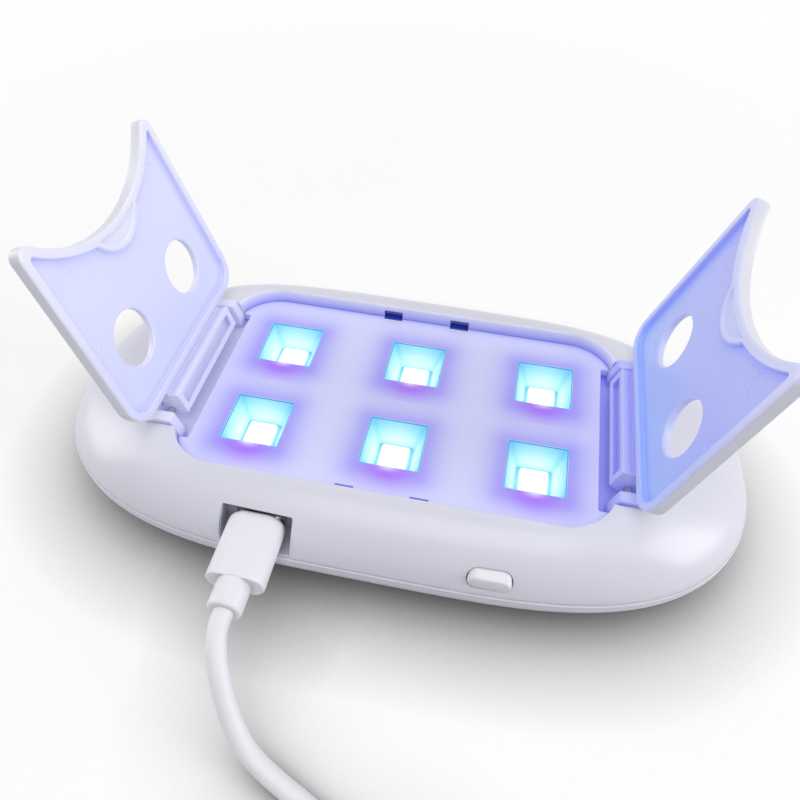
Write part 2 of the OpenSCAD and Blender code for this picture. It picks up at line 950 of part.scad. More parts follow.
// Heading of the coil at its two ends
coil_in_dir = [sin(coil_entry_a), -cos(coil_entry_a), 0];
coil_exit_a = coil_entry_a - 360 * coil_turns;
coil_out_dir = [sin(coil_exit_a), -cos(coil_exit_a), 0];

coil_turning = [for (i = [0:coil_turns * coil_rings]) coil_point(i / coil_rings)];
coil_first = coil_turning[0] - cord_d * coil_in_dir;
coil_last = coil_turning[len(coil_turning) - 1] + cord_d * coil_out_dir;
coil_path = concat([coil_first], coil_turning, [coil_last]);

// Least gap between turns of the coil, measured on its points
coil_gap = min([for (i = [0:len(coil_turning) - 13], j = [i + 12:len(coil_turning) - 1])
    norm(coil_turning[i] - coil_turning[j])]) - cord_d;

charger_dir = [cos(charger_a), sin(charger_a), 0];
relief_end = [charger_at[0], charger_at[1], charger_z];
tail_path = [
    coil_last,
    coil_last + 3 * coil_out_dir - [0, 0, 0.1],
    relief_end - 6 * charger_dir + [0, 0, 0.2],
    relief_end - 3 * charger_dir,
    relief_end
];
run_path = concat(run_route, [coil_first - 2 * coil_in_dir, coil_first]);

module cord_run() {
    color("white")
        loft(tube_rings(run_path, cord_d, 8, 22.5));
    echo(run_length = path_length(run_path));
}

module cord_coil() {
    color("white")
        loft(tube_rings(coil_path, cord_d, 6, 0));
    echo(coil_gap = coil_gap, coil_length = path_length(coil_path));
}

module cord_tail() {
    color("white")
        loft(tube_rings(tail_path, cord_d, 8, 22.5));
    echo(tail_length = path_length(tail_path), tail_path = tail_path);
}

// Band round the turns of the coil
module cord_tie() {
    high = coil_z + coil_pitch + cord_d / 2 + 0.1;
    color("black")
        translate([coil_centre[0], coil_centre[1], 0])
            rotate([0, 0, tie_a])
                translate([coil_mid_r - 0.45, 0, 0])
                    difference() {
                        span([-tie_half - 1.9, -tie_w / 2, 0], [tie_half + 1.9, tie_w / 2, high + tie_t]);
                        span([-tie_half - 1.5, -tie_w, tie_t], [tie_half + 1.5, tie_w, high]);
                    }
}

// Charger plug at the far end

// Places a piece with its axis along the charger plug, y forward from the relief's end
module at_charger() {
    translate([charger_at[0], charger_at[1], charger_z])
        rotate([0, 0, charger_a - 90])
            children();
}

module charger_plug_relief() {
    color("white")
        at_charger()
            rotate([-90, 0, 0])
                cylinder(r1 = 2.3, r2 = 3, h = relief_l);
}

module charger_plug_body() {
    color("white")
        at_charger()
            difference() {
                along_y(relief_l, relief_l + charger_l)
                    rounded_rect(7.9, 4.1, 1.6);
                along_y(relief_l + charger_l - 3, relief_l + charger_l + cut)
                    square([12, 4.5], center = true);
            }
}

module charger_plug_shell() {
    end = relief_l + charger_l;
    color("silver")
        at_charger()
            difference() {
                span([-6, end - 3, -2.25], [6, end + charger_shell_l, 2.25]);
                span([-5.7, end - 2.5, -1.95], [5.7, end + charger_shell_l + cut, 1.95]);
                for (x = [-3.2, 3.2])
                    span([x - 1.25, end + 4.2, -3], [x + 1.25, end + 6.7, 3]);
            }
}

module charger_plug_tongue() {
    end = relief_l + charger_l;
    color("black")
        at_charger()
            span([-5.55, end - 2.5, -1.9], [5.55, end + charger_shell_l - 0.3, -0.1]);
}

led_housing();
led_panel();
reflector_cups();
back_cover();
led_board();
led_packages();
led_lenses();
timer_chip();
driver_transistor();
current_resistors();
input_capacitor();
protection_diode();
usb_socket_shell();
usb_socket_tongue();
switch_body();
switch_cover();
switch_dome();
switch_plunger();
button_cap();
case_screws();
left_leg();
right_leg();
left_hinge_pins();
right_hinge_pins();
plug_body();
plug_collar();
plug_shell();
cord_run();
cord_coil();
cord_tail();
cord_tie();
charger_plug_body();
charger_plug_relief();
charger_plug_shell();
charger_plug_tongue();
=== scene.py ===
"""Looks of a mini nail lamp: an oval LED lamp with folding leg plates, its lead and a side button.

Sizes are millimetres in the part's own frame: Z up, the front with the lead and the button towards -Y,
and the origin on the floor under the middle of the body. Meshes become metres when they are dressed.
"""

import logging
import math
from collections.abc import Callable, Sequence
from dataclasses import dataclass, field
from enum import Enum

import bmesh
import bpy
from mathutils import Euler, Matrix, Vector
from mathutils.bvhtree import BVHTree


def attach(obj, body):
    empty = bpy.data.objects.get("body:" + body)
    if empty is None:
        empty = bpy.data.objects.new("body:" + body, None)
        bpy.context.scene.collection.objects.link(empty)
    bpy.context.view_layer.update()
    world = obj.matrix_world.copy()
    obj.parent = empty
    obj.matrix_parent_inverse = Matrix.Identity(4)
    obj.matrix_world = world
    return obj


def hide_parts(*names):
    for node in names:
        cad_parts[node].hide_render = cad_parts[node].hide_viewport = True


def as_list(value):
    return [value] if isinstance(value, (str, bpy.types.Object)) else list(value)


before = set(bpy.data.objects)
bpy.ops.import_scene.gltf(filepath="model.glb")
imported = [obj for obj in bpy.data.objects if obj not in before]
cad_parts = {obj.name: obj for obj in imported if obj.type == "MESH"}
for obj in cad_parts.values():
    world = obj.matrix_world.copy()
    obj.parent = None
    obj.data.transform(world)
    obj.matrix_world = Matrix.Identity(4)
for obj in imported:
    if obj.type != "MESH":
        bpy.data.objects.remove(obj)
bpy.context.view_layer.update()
LOG = logging.getLogger("nail_lamp")
# Metres in a millimetre
MM = 0.001

Material = bpy.types.Material
Node = bpy.types.Node
Piece = bpy.types.Object
Socket = bpy.types.NodeSocket
Tree = bpy.types.NodeTree
Point = tuple[float, float, float]
Flat = list[tuple[float, float]]
Ring = list[Point]
Outline = Callable[[float], Flat]
Levels = list[tuple[float, float]]
Stops = tuple[tuple[float, str], ...]
Spot = dict[str, Socket]


class Cut(Enum):
    """Ways to combine a piece with a tool."""

    AWAY = "DIFFERENCE"
    JOIN = "UNION"
    SHARE = "INTERSECT"


# Mesh making


@dataclass
class Shape:
    """Closed surfaces in millimetres, with a finish number for each face."""

    points: Ring = field(default_factory=list)
    faces: list[tuple[int, ...]] = field(default_factory=list)
    paint: list[int] = field(default_factory=list)

    def __add__(self, other: "Shape") -> "Shape":
        """Both shapes side by side in one."""
        moved = [tuple(i + len(self.points) for i in face) for face in other.faces]
        return Shape(self.points + other.points, self.faces + moved, self.paint + other.paint)

    def placed(self, matrix: Matrix) -> "Shape":
        """The shape moved by a matrix."""
        return Shape([tuple(matrix @ Vector(p)) for p in self.points], self.faces, self.paint)

    def painted(self, number: int) -> "Shape":
        """The shape with one finish number on every face."""
        return Shape(self.points, self.faces, [number] * len(self.faces))


def loft(rings: Sequence[Ring], closed: bool = False, paint: Sequence[int] | None = None) -> Shape:
    """Joins rings of equal length.

    Args:
        rings: rings in order along the shape.
        closed: whether the last ring joins the first, instead of both being capped.
        paint: finish number of the band after each ring.

    Returns:
        The closed surface.
    """
    n, count = len(rings[0]), len(rings)
    bands = count if closed else count - 1
    numbers = list(paint) if paint else [0] * bands
    shape = Shape([p for ring in rings for p in ring])
    for k in range(bands):
        a, b = k * n, (k + 1) % count * n
        for i in range(n):
            j = (i + 1) % n
            shape.faces.append((a + i, a + j, b + j, b + i))
            shape.paint.append(numbers[k])
    if not closed:
        shape.faces += [tuple(range(n))[::-1], tuple(range((count - 1) * n, count * n))]
        shape.paint += [numbers[0], numbers[-1]]
    return shape


def stack(outline: Outline, levels: Levels) -> Shape:
    """Solid from a flat outline that grows or shrinks from level to level, each a growth and a height."""
    return loft([[(x, y, z) for x, y in outline(grow)] for grow, z in levels])


def rounded(half_x: float, half_y: float, radius: float, at: tuple[float, float] = (0, 0),
            steps: int = 6) -> Outline:
    """Outline of a rounded rectangle, as a function of how far it is grown.

    Args:
        half_x: half size along x.
        half_y: half size along y.
        radius: corner radius.
        at: centre.
        steps: segments in each corner.

    Returns:
        The function from growth to points.
    """
    def outline(grow: float) -> Flat:
        """The rectangle's points, grown.

        Args:
            grow: how far its sides move outward.

        Returns:
            The points, anticlockwise.
        """
        r = max(radius + grow, 0.02)
        found = []
        for corner, (sx, sy) in enumerate(((1, 1), (-1, 1), (-1, -1), (1, -1))):
            for k in range(steps + 1):
                a = math.radians(90 * (corner + k / steps))
                found.append((at[0] + sx * (half_x + grow - r) + r * math.cos(a),
                              at[1] + sy * (half_y + grow - r) + r * math.sin(a)))
        return found

    return outline


def disc(radius: float, at: tuple[float, float] = (0, 0), sides: int = 64) -> Outline:
    """Outline of a circle, as a function of how far it is grown.

    Args:
        radius: radius before it is grown.
        at: centre.
        sides: segments.

    Returns:
        The function from growth to points.
    """
    turn = 2 * math.pi / sides
    return lambda grow: [(at[0] + (radius + grow) * math.cos(k * turn),
                          at[1] + (radius + grow) * math.sin(k * turn)) for k in range(sides)]


def lip(radius: float, z: float, up: int = 1, opening: bool = True, steps: int = 5) -> Levels:
    """Levels of a rounded edge where an outline meets the height z.

    Args:
        radius: radius of the rounding.
        z: height of the face that the edge belongs to.
        up: 1 where the face looks up, -1 where it looks down.
        opening: whether the outline is an opening, which widens, or a solid, which draws in.
        steps: segments in the rounding.

    Returns:
        Growths and heights, going towards the face. An opening goes on a little beyond it.
    """
    last = 78 if opening else 90
    sign = 1 if opening else -1
    levels = []
    for k in range(steps + 1):
        a = math.radians(last * k / steps)
        levels.append((sign * radius * (1 - math.cos(a)), z - up * radius * (1 - math.sin(a))))
    if opening:
        levels.append((levels[-1][0], z + up * 0.4))
    return levels


def box(low: Point, high: Point) -> Shape:
    """Sharp box between two corners, for cutting and for what stays hidden.

    Args:
        low: lowest corner.
        high: highest corner.

    Returns:
        The box.
    """
    middle = [(a + b) / 2 for a, b in zip(low, high)]
    half = [(b - a) / 2 for a, b in zip(low, high)]
    corners = [(-1, -1), (1, -1), (1, 1), (-1, 1)]
    return loft([[(middle[0] + sx * half[0], middle[1] + sy * half[1], z) for sx, sy in corners]
                 for z in (low[2], high[2])])


def mirror_x(shape: Shape) -> Shape:
    """The shape on the other side of the body."""
    return shape.placed(Matrix.Scale(-1, 4, (1, 0, 0)))


def both_ends(shape: Shape) -> Shape:
    """The shape and its mirror image at the other end of the body."""
    return shape + mirror_x(shape)


def pair(shape: Shape) -> Shape:
    """The shape, with finish number 0, and its mirror image at the left end, with number 1."""
    return shape.painted(0) + mirror_x(shape).painted(1)


# Turns (x, y, z) drawn upright into (x, -z, y), so that a height becomes a depth from the front
LAID = Euler((math.radians(90), 0, 0)).to_matrix().to_4x4()


def solid(name: str, shape: Shape, materials: Sequence[Material] = ()) -> Piece:
    """Makes an object in millimetres from a shape, with its faces turned outward.

    Args:
        name: object name.
        shape: the closed surfaces.
        materials: finishes, in the order of the shape's numbers.

    Returns:
        The new object.
    """
    mesh = bpy.data.meshes.new(name)
    mesh.from_pydata(shape.points, [], shape.faces)
    for material in materials:
        mesh.materials.append(material)
    mesh.polygons.foreach_set("material_index", shape.paint)
    tidy(mesh)
    piece = bpy.data.objects.new(name, mesh)
    bpy.context.scene.collection.objects.link(piece)
    return piece


def tidy(mesh: bpy.types.Mesh) -> None:
    """Welds doubled points, drops faces without area and turns normals outward.

    Args:
        mesh: the mesh to clean.
    """
    weld = 1e-4
    work = bmesh.new()
    work.from_mesh(mesh)
    bmesh.ops.remove_doubles(work, verts=work.verts, dist=weld)
    bmesh.ops.dissolve_degenerate(work, edges=work.edges, dist=weld)
    bmesh.ops.recalc_face_normals(work, faces=work.faces)
    work.to_mesh(mesh)
    work.free()


def settle(piece: Piece) -> None:
    """Turns a piece's modifiers into its mesh.

    Args:
        piece: the object, which loses its modifiers.
    """
    graph = bpy.context.evaluated_depsgraph_get()
    old = piece.data
    piece.data = bpy.data.meshes.new_from_object(piece.evaluated_get(graph), depsgraph=graph)
    piece.modifiers.clear()
    bpy.data.meshes.remove(old)


def combine(piece: Piece, way: Cut, shape: Shape, materials: Sequence[Material] = ()) -> None:
    """Cuts a shape out of a piece, joins it on, or keeps what they share.

    Args:
        piece: the object to change.
        way: how they combine.
        shape: the tool, which may be several separate closed surfaces.
        materials: finishes that the tool leaves on the faces it makes.
    """
    tool = solid("tool", shape, materials or list(piece.data.materials)[:1])
    modifier = piece.modifiers.new("combine", "BOOLEAN")
    modifier.object = tool
    modifier.operation = way.value
    modifier.solver = "EXACT"
    modifier.material_mode = "TRANSFER"
    settle(piece)
    bpy.data.objects.remove(tool)
    tidy(piece.data)


def dress(piece: Piece, body: str, slot: str, *nodes: str, angle: float = 32) -> Piece:
    """Finishes a piece: metres, smooth shading and its body, and hides the nodes that it stands for.

    Args:
        piece: object in millimetres.
        body: body of the frame that it rides on.
        slot: the record's material slot; not used.
        nodes: nodes that it replaces.
        angle: edges sharper than this many degrees stay sharp.

    Returns:
        The same object.
    """
    piece.data.transform(Matrix.Scale(MM, 4))
    piece.data.shade_smooth()
    piece.data.set_sharp_from_angle(angle=math.radians(angle))
    weighted = piece.modifiers.new("normals", "WEIGHTED_NORMAL")
    weighted.keep_sharp = True
    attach(piece, body)
    if nodes:
        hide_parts(*nodes)
    LOG.info("%s: %d faces", piece.name, len(piece.data.polygons))
    return piece


# Finishes


def linear(colour: str) -> tuple[float, float, float, float]:
    """Linear colour of an sRGB hex value such as #c0ffee.

    Args:
        colour: the hex value.

    Returns:
        Red, green and blue, and an alpha of 1.
    """
    parts = [int(colour[i:i + 2], 16) / 255 for i in (1, 3, 5)]
    red, green, blue = (c / 12.92 if c <= 0.04045 else ((c + 0.055) / 1.055) ** 2.4 for c in parts)
    return red, green, blue, 1.0


def add(tree: Tree, kind: str, inputs: dict[str | int, object] | None = None, **settings: object) -> Node:
    """Adds a node with its settings, and sets or links its inputs.

    Args:
        tree: node tree.
        kind: the node's type name.
        inputs: input name or number to a socket, which is linked, or a value, which is set.
        settings: the node's own settings.

    Returns:
        The new node.
    """
    node = tree.nodes.new(kind)
    for name, value in settings.items():
        setattr(node, name, value)
    for key, value in (inputs or {}).items():
        if isinstance(value, Socket):
            tree.links.new(value, node.inputs[key])
        else:
            node.inputs[key].default_value = value
    return node


def fill_ramp(node: Node, stops: Stops) -> None:
    """Sets a colour ramp's stops.

    Args:
        node: the ramp's node.
        stops: places from 0 to 1, each with a hex colour.
    """
    ramp = node.color_ramp
    while len(ramp.elements) > 1:
        ramp.elements.remove(ramp.elements[-1])
    ramp.elements[0].position, ramp.elements[0].color = stops[0][0], linear(stops[0][1])
    for place, colour in stops[1:]:
        ramp.elements.new(place).color = linear(colour)


@dataclass(frozen=True)
class Finish:
    """A plain finish with a drift in its colour, a little unevenness and its own gloss, and painted shade in
    gaps and inner corners where it has a gap tone.
    """

    name: str
    colour: str
    shade: str
    roughness: float
    ior: float = 1.5
    metallic: float = 0.0
    # Size of the surface's unevenness, and of the larger drift in its colour
    grain_mm: float = 7.0
    drift_mm: float = 14.0
    bump: float = 0.0
    # A drawn or woven surface has its lines along the axis where this is small
    stretch: Point = (1, 1, 1)
    # Painted shade, if any: the tone that gaps and inner corners narrower than the reach below go towards
    gap: str = ""
    shade_reach_mm: float = 2.0

    def base(self, tree: Tree) -> Socket:
        """Colour that drifts a little between the finish's two tones.

        Args:
            tree: the material's node tree.

        Returns:
            The colour.
        """
        place = add(tree, "ShaderNodeTexCoord").outputs["Object"]
        scale = 1 / (self.drift_mm * MM)
        drift = add(tree, "ShaderNodeTexNoise", {"Vector": place, "Scale": scale, "Detail": 3.0})
        tones = {0: drift.outputs["Fac"], 6: linear(self.colour), 7: linear(self.shade)}
        return add(tree, "ShaderNodeMix", tones, data_type="RGBA").outputs[2]

    def with_painted_shade(self, tree: Tree) -> Socket:
        """The base colour with painted shade, deeper in gaps and inner corners.

        Args:
            tree: the material's node tree.

        Returns:
            The colour.
        """
        colour = self.base(tree)
        if not self.gap:
            return colour
        # Painted shade: the less of the room a point sees, the nearer its colour goes to the gap tone
        reach = {"Distance": self.shade_reach_mm * MM}
        open_share = add(tree, "ShaderNodeAmbientOcclusion", reach, samples=8).outputs["AO"]
        tones = {0: open_share, 6: linear(self.gap), 7: colour}
        return add(tree, "ShaderNodeMix", tones, data_type="RGBA").outputs[2]

    def light(self, tree: Tree) -> tuple[Socket | None, float]:
        """Colour and strength of the light that the surface gives, none on a plain finish."""
        return None, 0.0

    def material(self) -> Material:
        """Builds the material, once for each name.

        Returns:
            The material.
        """
        if self.name in bpy.data.materials:
            return bpy.data.materials[self.name]
        material = bpy.data.materials.new(self.name)
        material.use_nodes = True
        tree = material.node_tree
        tree.nodes.clear()
        place = add(tree, "ShaderNodeTexCoord").outputs["Object"]
        run = add(tree, "ShaderNodeVectorMath", {0: place, 1: self.stretch}, operation="MULTIPLY").outputs[0]
        scale = 1 / (self.grain_mm * MM)
        grain = add(tree, "ShaderNodeTexNoise", {"Vector": run, "Scale": scale, "Detail": 2.0}).outputs["Fac"]
        # The noise keeps between 0.3 and 0.7, and the gloss varies by no more than 2 % over that, because
        # more of it reads as leather on a smooth moulding
        low, high = self.roughness * 0.98, self.roughness * 1.02
        gloss = add(tree, "ShaderNodeMapRange", {
            "Value": grain, "From Min": 0.3, "From Max": 0.7, "To Min": low, "To Max": high})
        shader = add(tree, "ShaderNodeBsdfPrincipled", {
            "Base Color": self.with_painted_shade(tree), "Roughness": gloss.outputs["Result"],
            "Metallic": self.metallic, "IOR": self.ior})
        if self.bump:
            height = self.grain_mm * MM * 0.02
            bump = add(tree, "ShaderNodeBump", {"Height": grain, "Strength": self.bump, "Distance": height})
            tree.links.new(bump.outputs["Normal"], shader.inputs["Normal"])
        colour, strength = self.light(tree)
        if colour is not None:
            tree.links.new(colour, shader.inputs["Emission Color"])
            shader.inputs["Emission Strength"].default_value = strength
        add(tree, "ShaderNodeOutputMaterial", {"Surface": shader.outputs[0]}, is_active_output=True)
        return material


class Field(Enum):
    """How far a surface with painted LED light is from what lights it, as one number that its colours follow.
    """

    PANEL = "nearness to the edges of the pockets"
    POCKET = "distance from the middle of the nearest LED"
    DEPTH = "depth below the crest"
    LEG = "distance from the hinge axis along a leg"


@dataclass(frozen=True)
class Lit(Finish):
    """A finish with the LEDs' light and shade painted into its colour, and given off as a glow where it has a
    strength, by its place on the lamp.
    """

    where: Field = Field.PANEL
    # The colours run from start_mm over reach_mm, in the number that the field gives
    start_mm: float = 0.0
    reach_mm: float = 12.0
    stops: Stops = ((0.0, "#ffffff"), (1.0, "#ffffff"))
    # How brightly the surface itself glows with its painted light, as if it passed the LEDs' light on
    strength: float = 0.1
    # Share of the painted light's colour that the surface also has under other light
    body: float = 1.0
    # Colour of a painted glow in front of each pocket, and of the painted pale highlight in its middle
    flare: str = ""
    flare_middle: str = "#f3e6ff"
    # Both are soft ovals, each with its width, its depth and how far ahead of the pocket's edge it lies
    flare_oval: Point = (4.6, 3.4, 0.6)
    middle_oval: Point = (1.7, 1.0, -0.1)

    def spot(self, tree: Tree) -> Spot:
        """Where a point lies among the LEDs, in millimetres.

        Args:
            tree: the material's node tree.

        Returns:
            The distance from the nearest LED along x as across and along y as near, from the other row
            along y as far, the height, and the place itself.
        """
        place = add(tree, "ShaderNodeTexCoord").outputs["Object"]
        scale = {0: place, 1: (1 / MM,) * 3}
        place = add(tree, "ShaderNodeVectorMath", scale, operation="MULTIPLY").outputs[0]
        split = add(tree, "ShaderNodeSeparateXYZ", {0: place})
        away = add(tree, "ShaderNodeMath", {0: split.outputs["X"]}, operation="ABSOLUTE").outputs[0]
        outer = add(tree, "ShaderNodeMath", {0: away, 1: Lamp.led_pitch_x}, operation="SUBTRACT").outputs[0]
        outer = add(tree, "ShaderNodeMath", {0: outer}, operation="ABSOLUTE").outputs[0]
        across = add(tree, "ShaderNodeMath", {0: away, 1: outer}, operation="MINIMUM").outputs[0]
        side = add(tree, "ShaderNodeMath", {0: split.outputs["Y"]}, operation="SIGN").outputs[0]
        row = add(tree, "ShaderNodeMath", {0: side, 1: Lamp.led_pitch_y / 2}, operation="MULTIPLY").outputs[0]
        near, far = (add(tree, "ShaderNodeMath", {0: split.outputs["Y"], 1: row}, operation=way).outputs[0]
                     for way in ("SUBTRACT", "ADD"))
        return {"across": across, "near": near, "far": far, "height": split.outputs["Z"], "place": place}

    def distance(self, tree: Tree, spot: Spot) -> Socket:
        """The number that this finish's colours follow, in millimetres.

        Args:
            tree: the material's node tree.
            spot: where the point lies.

        Returns:
            The distance or the depth.
        """
        if self.where is Field.DEPTH:
            levels = {0: Lamp.crest_z, 1: spot["height"]}
            return add(tree, "ShaderNodeMath", levels, operation="SUBTRACT").outputs[0]
        if self.where is Field.LEG:
            folded = add(tree, "ShaderNodeVectorMath", {0: spot["place"]}, operation="ABSOLUTE").outputs[0]
            split = add(tree, "ShaderNodeSeparateXYZ", {0: folded}).outputs
            ahead = add(tree, "ShaderNodeMath", {0: split["X"], 1: Lamp.hinge_x}, operation="SUBTRACT")
            above = add(tree, "ShaderNodeMath", {0: split["Z"], 1: Lamp.axis_z}, operation="SUBTRACT")
            parts = {0: ahead.outputs[0], 1: above.outputs[0]}
        else:
            rise = add(tree, "ShaderNodeMath", {0: spot["height"], 1: Lamp.board_top}, operation="SUBTRACT")
            parts = {0: spot["across"], 1: spot["near"], 2: rise.outputs[0]}
        away = add(tree, "ShaderNodeCombineXYZ", parts).outputs[0]
        return add(tree, "ShaderNodeVectorMath", {0: away}, operation="LENGTH").outputs["Value"]

    def bell(self, tree: Tree, x: Socket, y: Socket, wide: float, deep: float) -> Socket:
        """Share that falls off smoothly from 1.

        Args:
            tree: the material's node tree.
            x: distance along x.
            y: distance along y.
            wide: width of the fall along x.
            deep: depth of the fall along y.

        Returns:
            The share.
        """
        oval = add(tree, "ShaderNodeCombineXYZ", {0: x, 1: y}).outputs[0]
        scale = (1 / wide, 1 / deep, 0)
        oval = add(tree, "ShaderNodeVectorMath", {0: oval, 1: scale}, operation="MULTIPLY").outputs[0]
        square = add(tree, "ShaderNodeVectorMath", {0: oval, 1: oval}, operation="DOT_PRODUCT")
        less = {0: square.outputs["Value"], 1: -1.0}
        fall = add(tree, "ShaderNodeMath", less, operation="MULTIPLY").outputs[0]
        return add(tree, "ShaderNodeMath", {0: fall}, operation="EXPONENT").outputs[0]

    def halo(self, tree: Tree, spot: Spot) -> Socket:
        """Nearness to the pockets' edges, which the panel's painted light follows, a little stronger towards
        the front.

        It is added up over both rows, so that no crease shows between them.

        Args:
            tree: the material's node tree.
            spot: where the point lies.

        Returns:
            The nearness.
        """
        forward = 0.7
        bells = []
        for row in ("near", "far"):
            past = []
            for name, ahead in (("across", 0.0), (row, forward)):
                away = add(tree, "ShaderNodeMath", {0: spot[name], 1: ahead}, operation="ADD").outputs[0]
                away = add(tree, "ShaderNodeMath", {0: away}, operation="ABSOLUTE").outputs[0]
                edge = {0: away, 1: Lamp.pocket_top / 2}
                away = add(tree, "ShaderNodeMath", edge, operation="SUBTRACT").outputs[0]
                past.append(add(tree, "ShaderNodeMath", {0: away, 1: 0.0}, operation="MAXIMUM").outputs[0])
            bells.append(self.bell(tree, *past, self.reach_mm, self.reach_mm))
        return add(tree, "ShaderNodeMath", {0: bells[0], 1: bells[1]}, operation="ADD").outputs[0]

    def glow(self, tree: Tree) -> Socket:
        """Painted LED light: colour by place, with the painted flare in front of each pocket on top.

        Args:
            tree: the material's node tree.

        Returns:
            The colour.
        """
        spot = self.spot(tree)
        if self.where is Field.PANEL:
            share = self.halo(tree, spot)
        else:
            end = self.start_mm + self.reach_mm
            span = {"Value": self.distance(tree, spot), "From Min": self.start_mm, "From Max": end}
            share = add(tree, "ShaderNodeMapRange", span).outputs["Result"]
        ramp = add(tree, "ShaderNodeValToRGB", {"Fac": share})
        fill_ramp(ramp, self.stops)
        colour = ramp.outputs["Color"]
        if not self.flare:
            return colour
        for tint, oval in ((self.flare, self.flare_oval), (self.flare_middle, self.middle_oval)):
            wide, deep, ahead = oval
            edge = {0: spot["near"], 1: Lamp.pocket_top / 2 + ahead}
            front = add(tree, "ShaderNodeMath", edge, operation="ADD").outputs[0]
            share = self.bell(tree, spot["across"], front, wide, deep)
            tones = {0: share, 6: colour, 7: linear(tint)}
            colour = add(tree, "ShaderNodeMix", tones, data_type="RGBA").outputs[2]
        return colour

    def base(self, tree: Tree) -> Socket:
        """The painted glow's colour, mixed with the finish's own."""
        tones = {0: self.body, 6: super().base(tree), 7: self.glow(tree)}
        return add(tree, "ShaderNodeMix", tones, data_type="RGBA").outputs[2]

    def light(self, tree: Tree) -> tuple[Socket | None, float]:
        """The painted glow's colour and strength, given off as light where it has a strength."""
        return (self.glow(tree), self.strength) if self.strength else (None, 0.0)


class Lamp:
    """Sizes that more than one sub-assembly uses."""

    # Body: half length and half width, and the heights of the lip's underside, the seam and the crest
    half_l = 67.5
    half_w = 35.0
    lip_z = 9.5
    seam_z = 10.5
    crest_z = 20.3
    wall = 1.8
    # How far the housing stands back from the lip
    seam_step = 0.3
    oval_powers = (3.6, 2.2)
    crest_half = (42.2, 24.5)
    crest_powers = (8, 6)
    crest_spacing = 1.6
    # Points round the body
    sides = 288
    # Recess, and the panel that closes it
    recess_half = (40.6, 24.0)
    recess_r = 9.6
    tub_wall = 1.6
    panel_z = 17.5
    panel_under = 15.9
    flange_z = 16.7
    # Windows over the board's hooks: where they lie along x, and where they start in y and z
    window_x = (5.3, 9.3)
    window_y = 23.2
    window_z = 17.1
    # LEDs on their board, and the widths of the pockets over them
    board_top = 12.6
    led_pitch_x = 26.7
    led_pitch_y = 21.6
    led_w = 5.4
    pocket_top = 11.1
    pocket_bottom = 6.8
    # Hinges: the axis, the legs' open angle, the ears' inner distance and thickness
    hinge_x = 42.7
    axis_z = 19.0
    open_a = 107.5
    ear_gap = 30.8
    ear_t = 2.3
    # Middles of the port and of the button
    port_x = -20.1
    socket_z = 14.23
    button_x = 21.0
    button_z = 13.85

    @classmethod
    def oval(cls, a: float, half_x: float, half_y: float) -> tuple[float, float]:
        """A point of the body's oval.

        Args:
            a: angle in radians.
            half_x: half length.
            half_y: half width.

        Returns:
            The point.
        """
        u, v = math.cos(a), math.sin(a)
        depth = max(0.0, 1 - abs(u) ** cls.oval_powers[0]) ** (1 / cls.oval_powers[1])
        return half_x * u, math.copysign(half_y * depth, v)

    @classmethod
    def crest(cls, a: float) -> tuple[float, float]:
        """A point of the crest's outline, spaced to suit the oval.

        Args:
            a: angle in radians.

        Returns:
            The point.
        """
        u = 1 - (1 - abs(math.cos(a))) ** cls.crest_spacing
        depth = max(0.0, 1 - u ** cls.crest_powers[0]) ** (1 / cls.crest_powers[1])
        half_x, half_y = cls.crest_half
        return math.copysign(half_x * u, math.cos(a)), math.copysign(half_y * depth, math.sin(a))

    @classmethod
    def around(cls, point: Callable[[float], tuple[float, float]]) -> Flat:
        """Points round the body, from a function of the angle."""
        return [point(2 * math.pi * (i + 0.5) / cls.sides) for i in range(cls.sides)]

    @classmethod
    def at_leds(cls, shape: Shape) -> Shape:
        """Copies of a shape at the six LEDs.

        Args:
            shape: the shape, drawn at the origin.

        Returns:
            All six copies.
        """
        found = Shape()
        for column in (-1, 0, 1):
            for row in (-0.5, 0.5):
                at = (column * cls.led_pitch_x, row * cls.led_pitch_y, 0)
                found += shape.placed(Matrix.Translation(at))
        return found


def between(inner: Flat, outer: Flat, share: float, z: float) -> Ring:
    """Ring part way from an inner to an outer outline."""
    return [(a[0] * (1 - share) + b[0] * share, a[1] * (1 - share) + b[1] * share, z)
            for a, b in zip(inner, outer)]


def level(points: Flat, z: float) -> Ring:
    """Flat ring at the height z."""
    return [(x, y, z) for x, y in points]


# ABS, injection moulded in a polished mould: a soft even gloss, white with a cool cast
# Painted shade on the housing: its white goes towards a grey violet in gaps and inner corners, such as the
# port
HOUSING_ABS = Finish("white_abs_housing", "#e8e8f2", "#e3e3ee", 0.28, 1.54, gap="#9898b0", shade_reach_mm=3.0)
COVER_ABS = Finish("white_abs_cover", "#e2e2e9", "#dddde5", 0.32, 1.54)
LEG_ABS = Finish("white_abs_legs", "#ebebf3", "#e6e6f0", 0.28, 1.54)
BUTTON_ABS = Finish("white_abs_button", "#f0f0f3", "#ebebef", 0.2, 1.54)
# The same white ABS with the LEDs' light painted into its colour: violet in the recess, cyan in the pockets,
# lilac on the left leg and bluer and darker on the right one. Painted shade deepens gaps, inner corners and
# the pockets' edges.
# Painted light and shade on the recess wall: pale at the rim, bluer and darker lower down, deeper in its
# corners
WALL_ABS = Lit("lit_abs_recess_wall", "#e4e4f4", "#dfdff0", 0.3, 1.54, where=Field.DEPTH, reach_mm=3.0,
               stops=((0.0, "#e4e4f2"), (0.3, "#d4d5f4"), (0.6, "#c0c2f4"), (1.0, "#b2b4f0")),
               gap="#9092ea", shade_reach_mm=1.4)
# Painted shade on the faces inside the windows: a dark blue where the LEDs' light doesn't reach
WINDOW_ABS = Lit("shaded_abs_window", "#2c3eb4", "#2838ac", 0.5, 1.54, where=Field.DEPTH, reach_mm=3.0,
                 stops=((0.0, "#3346c2"), (1.0, "#2a3cb0")))
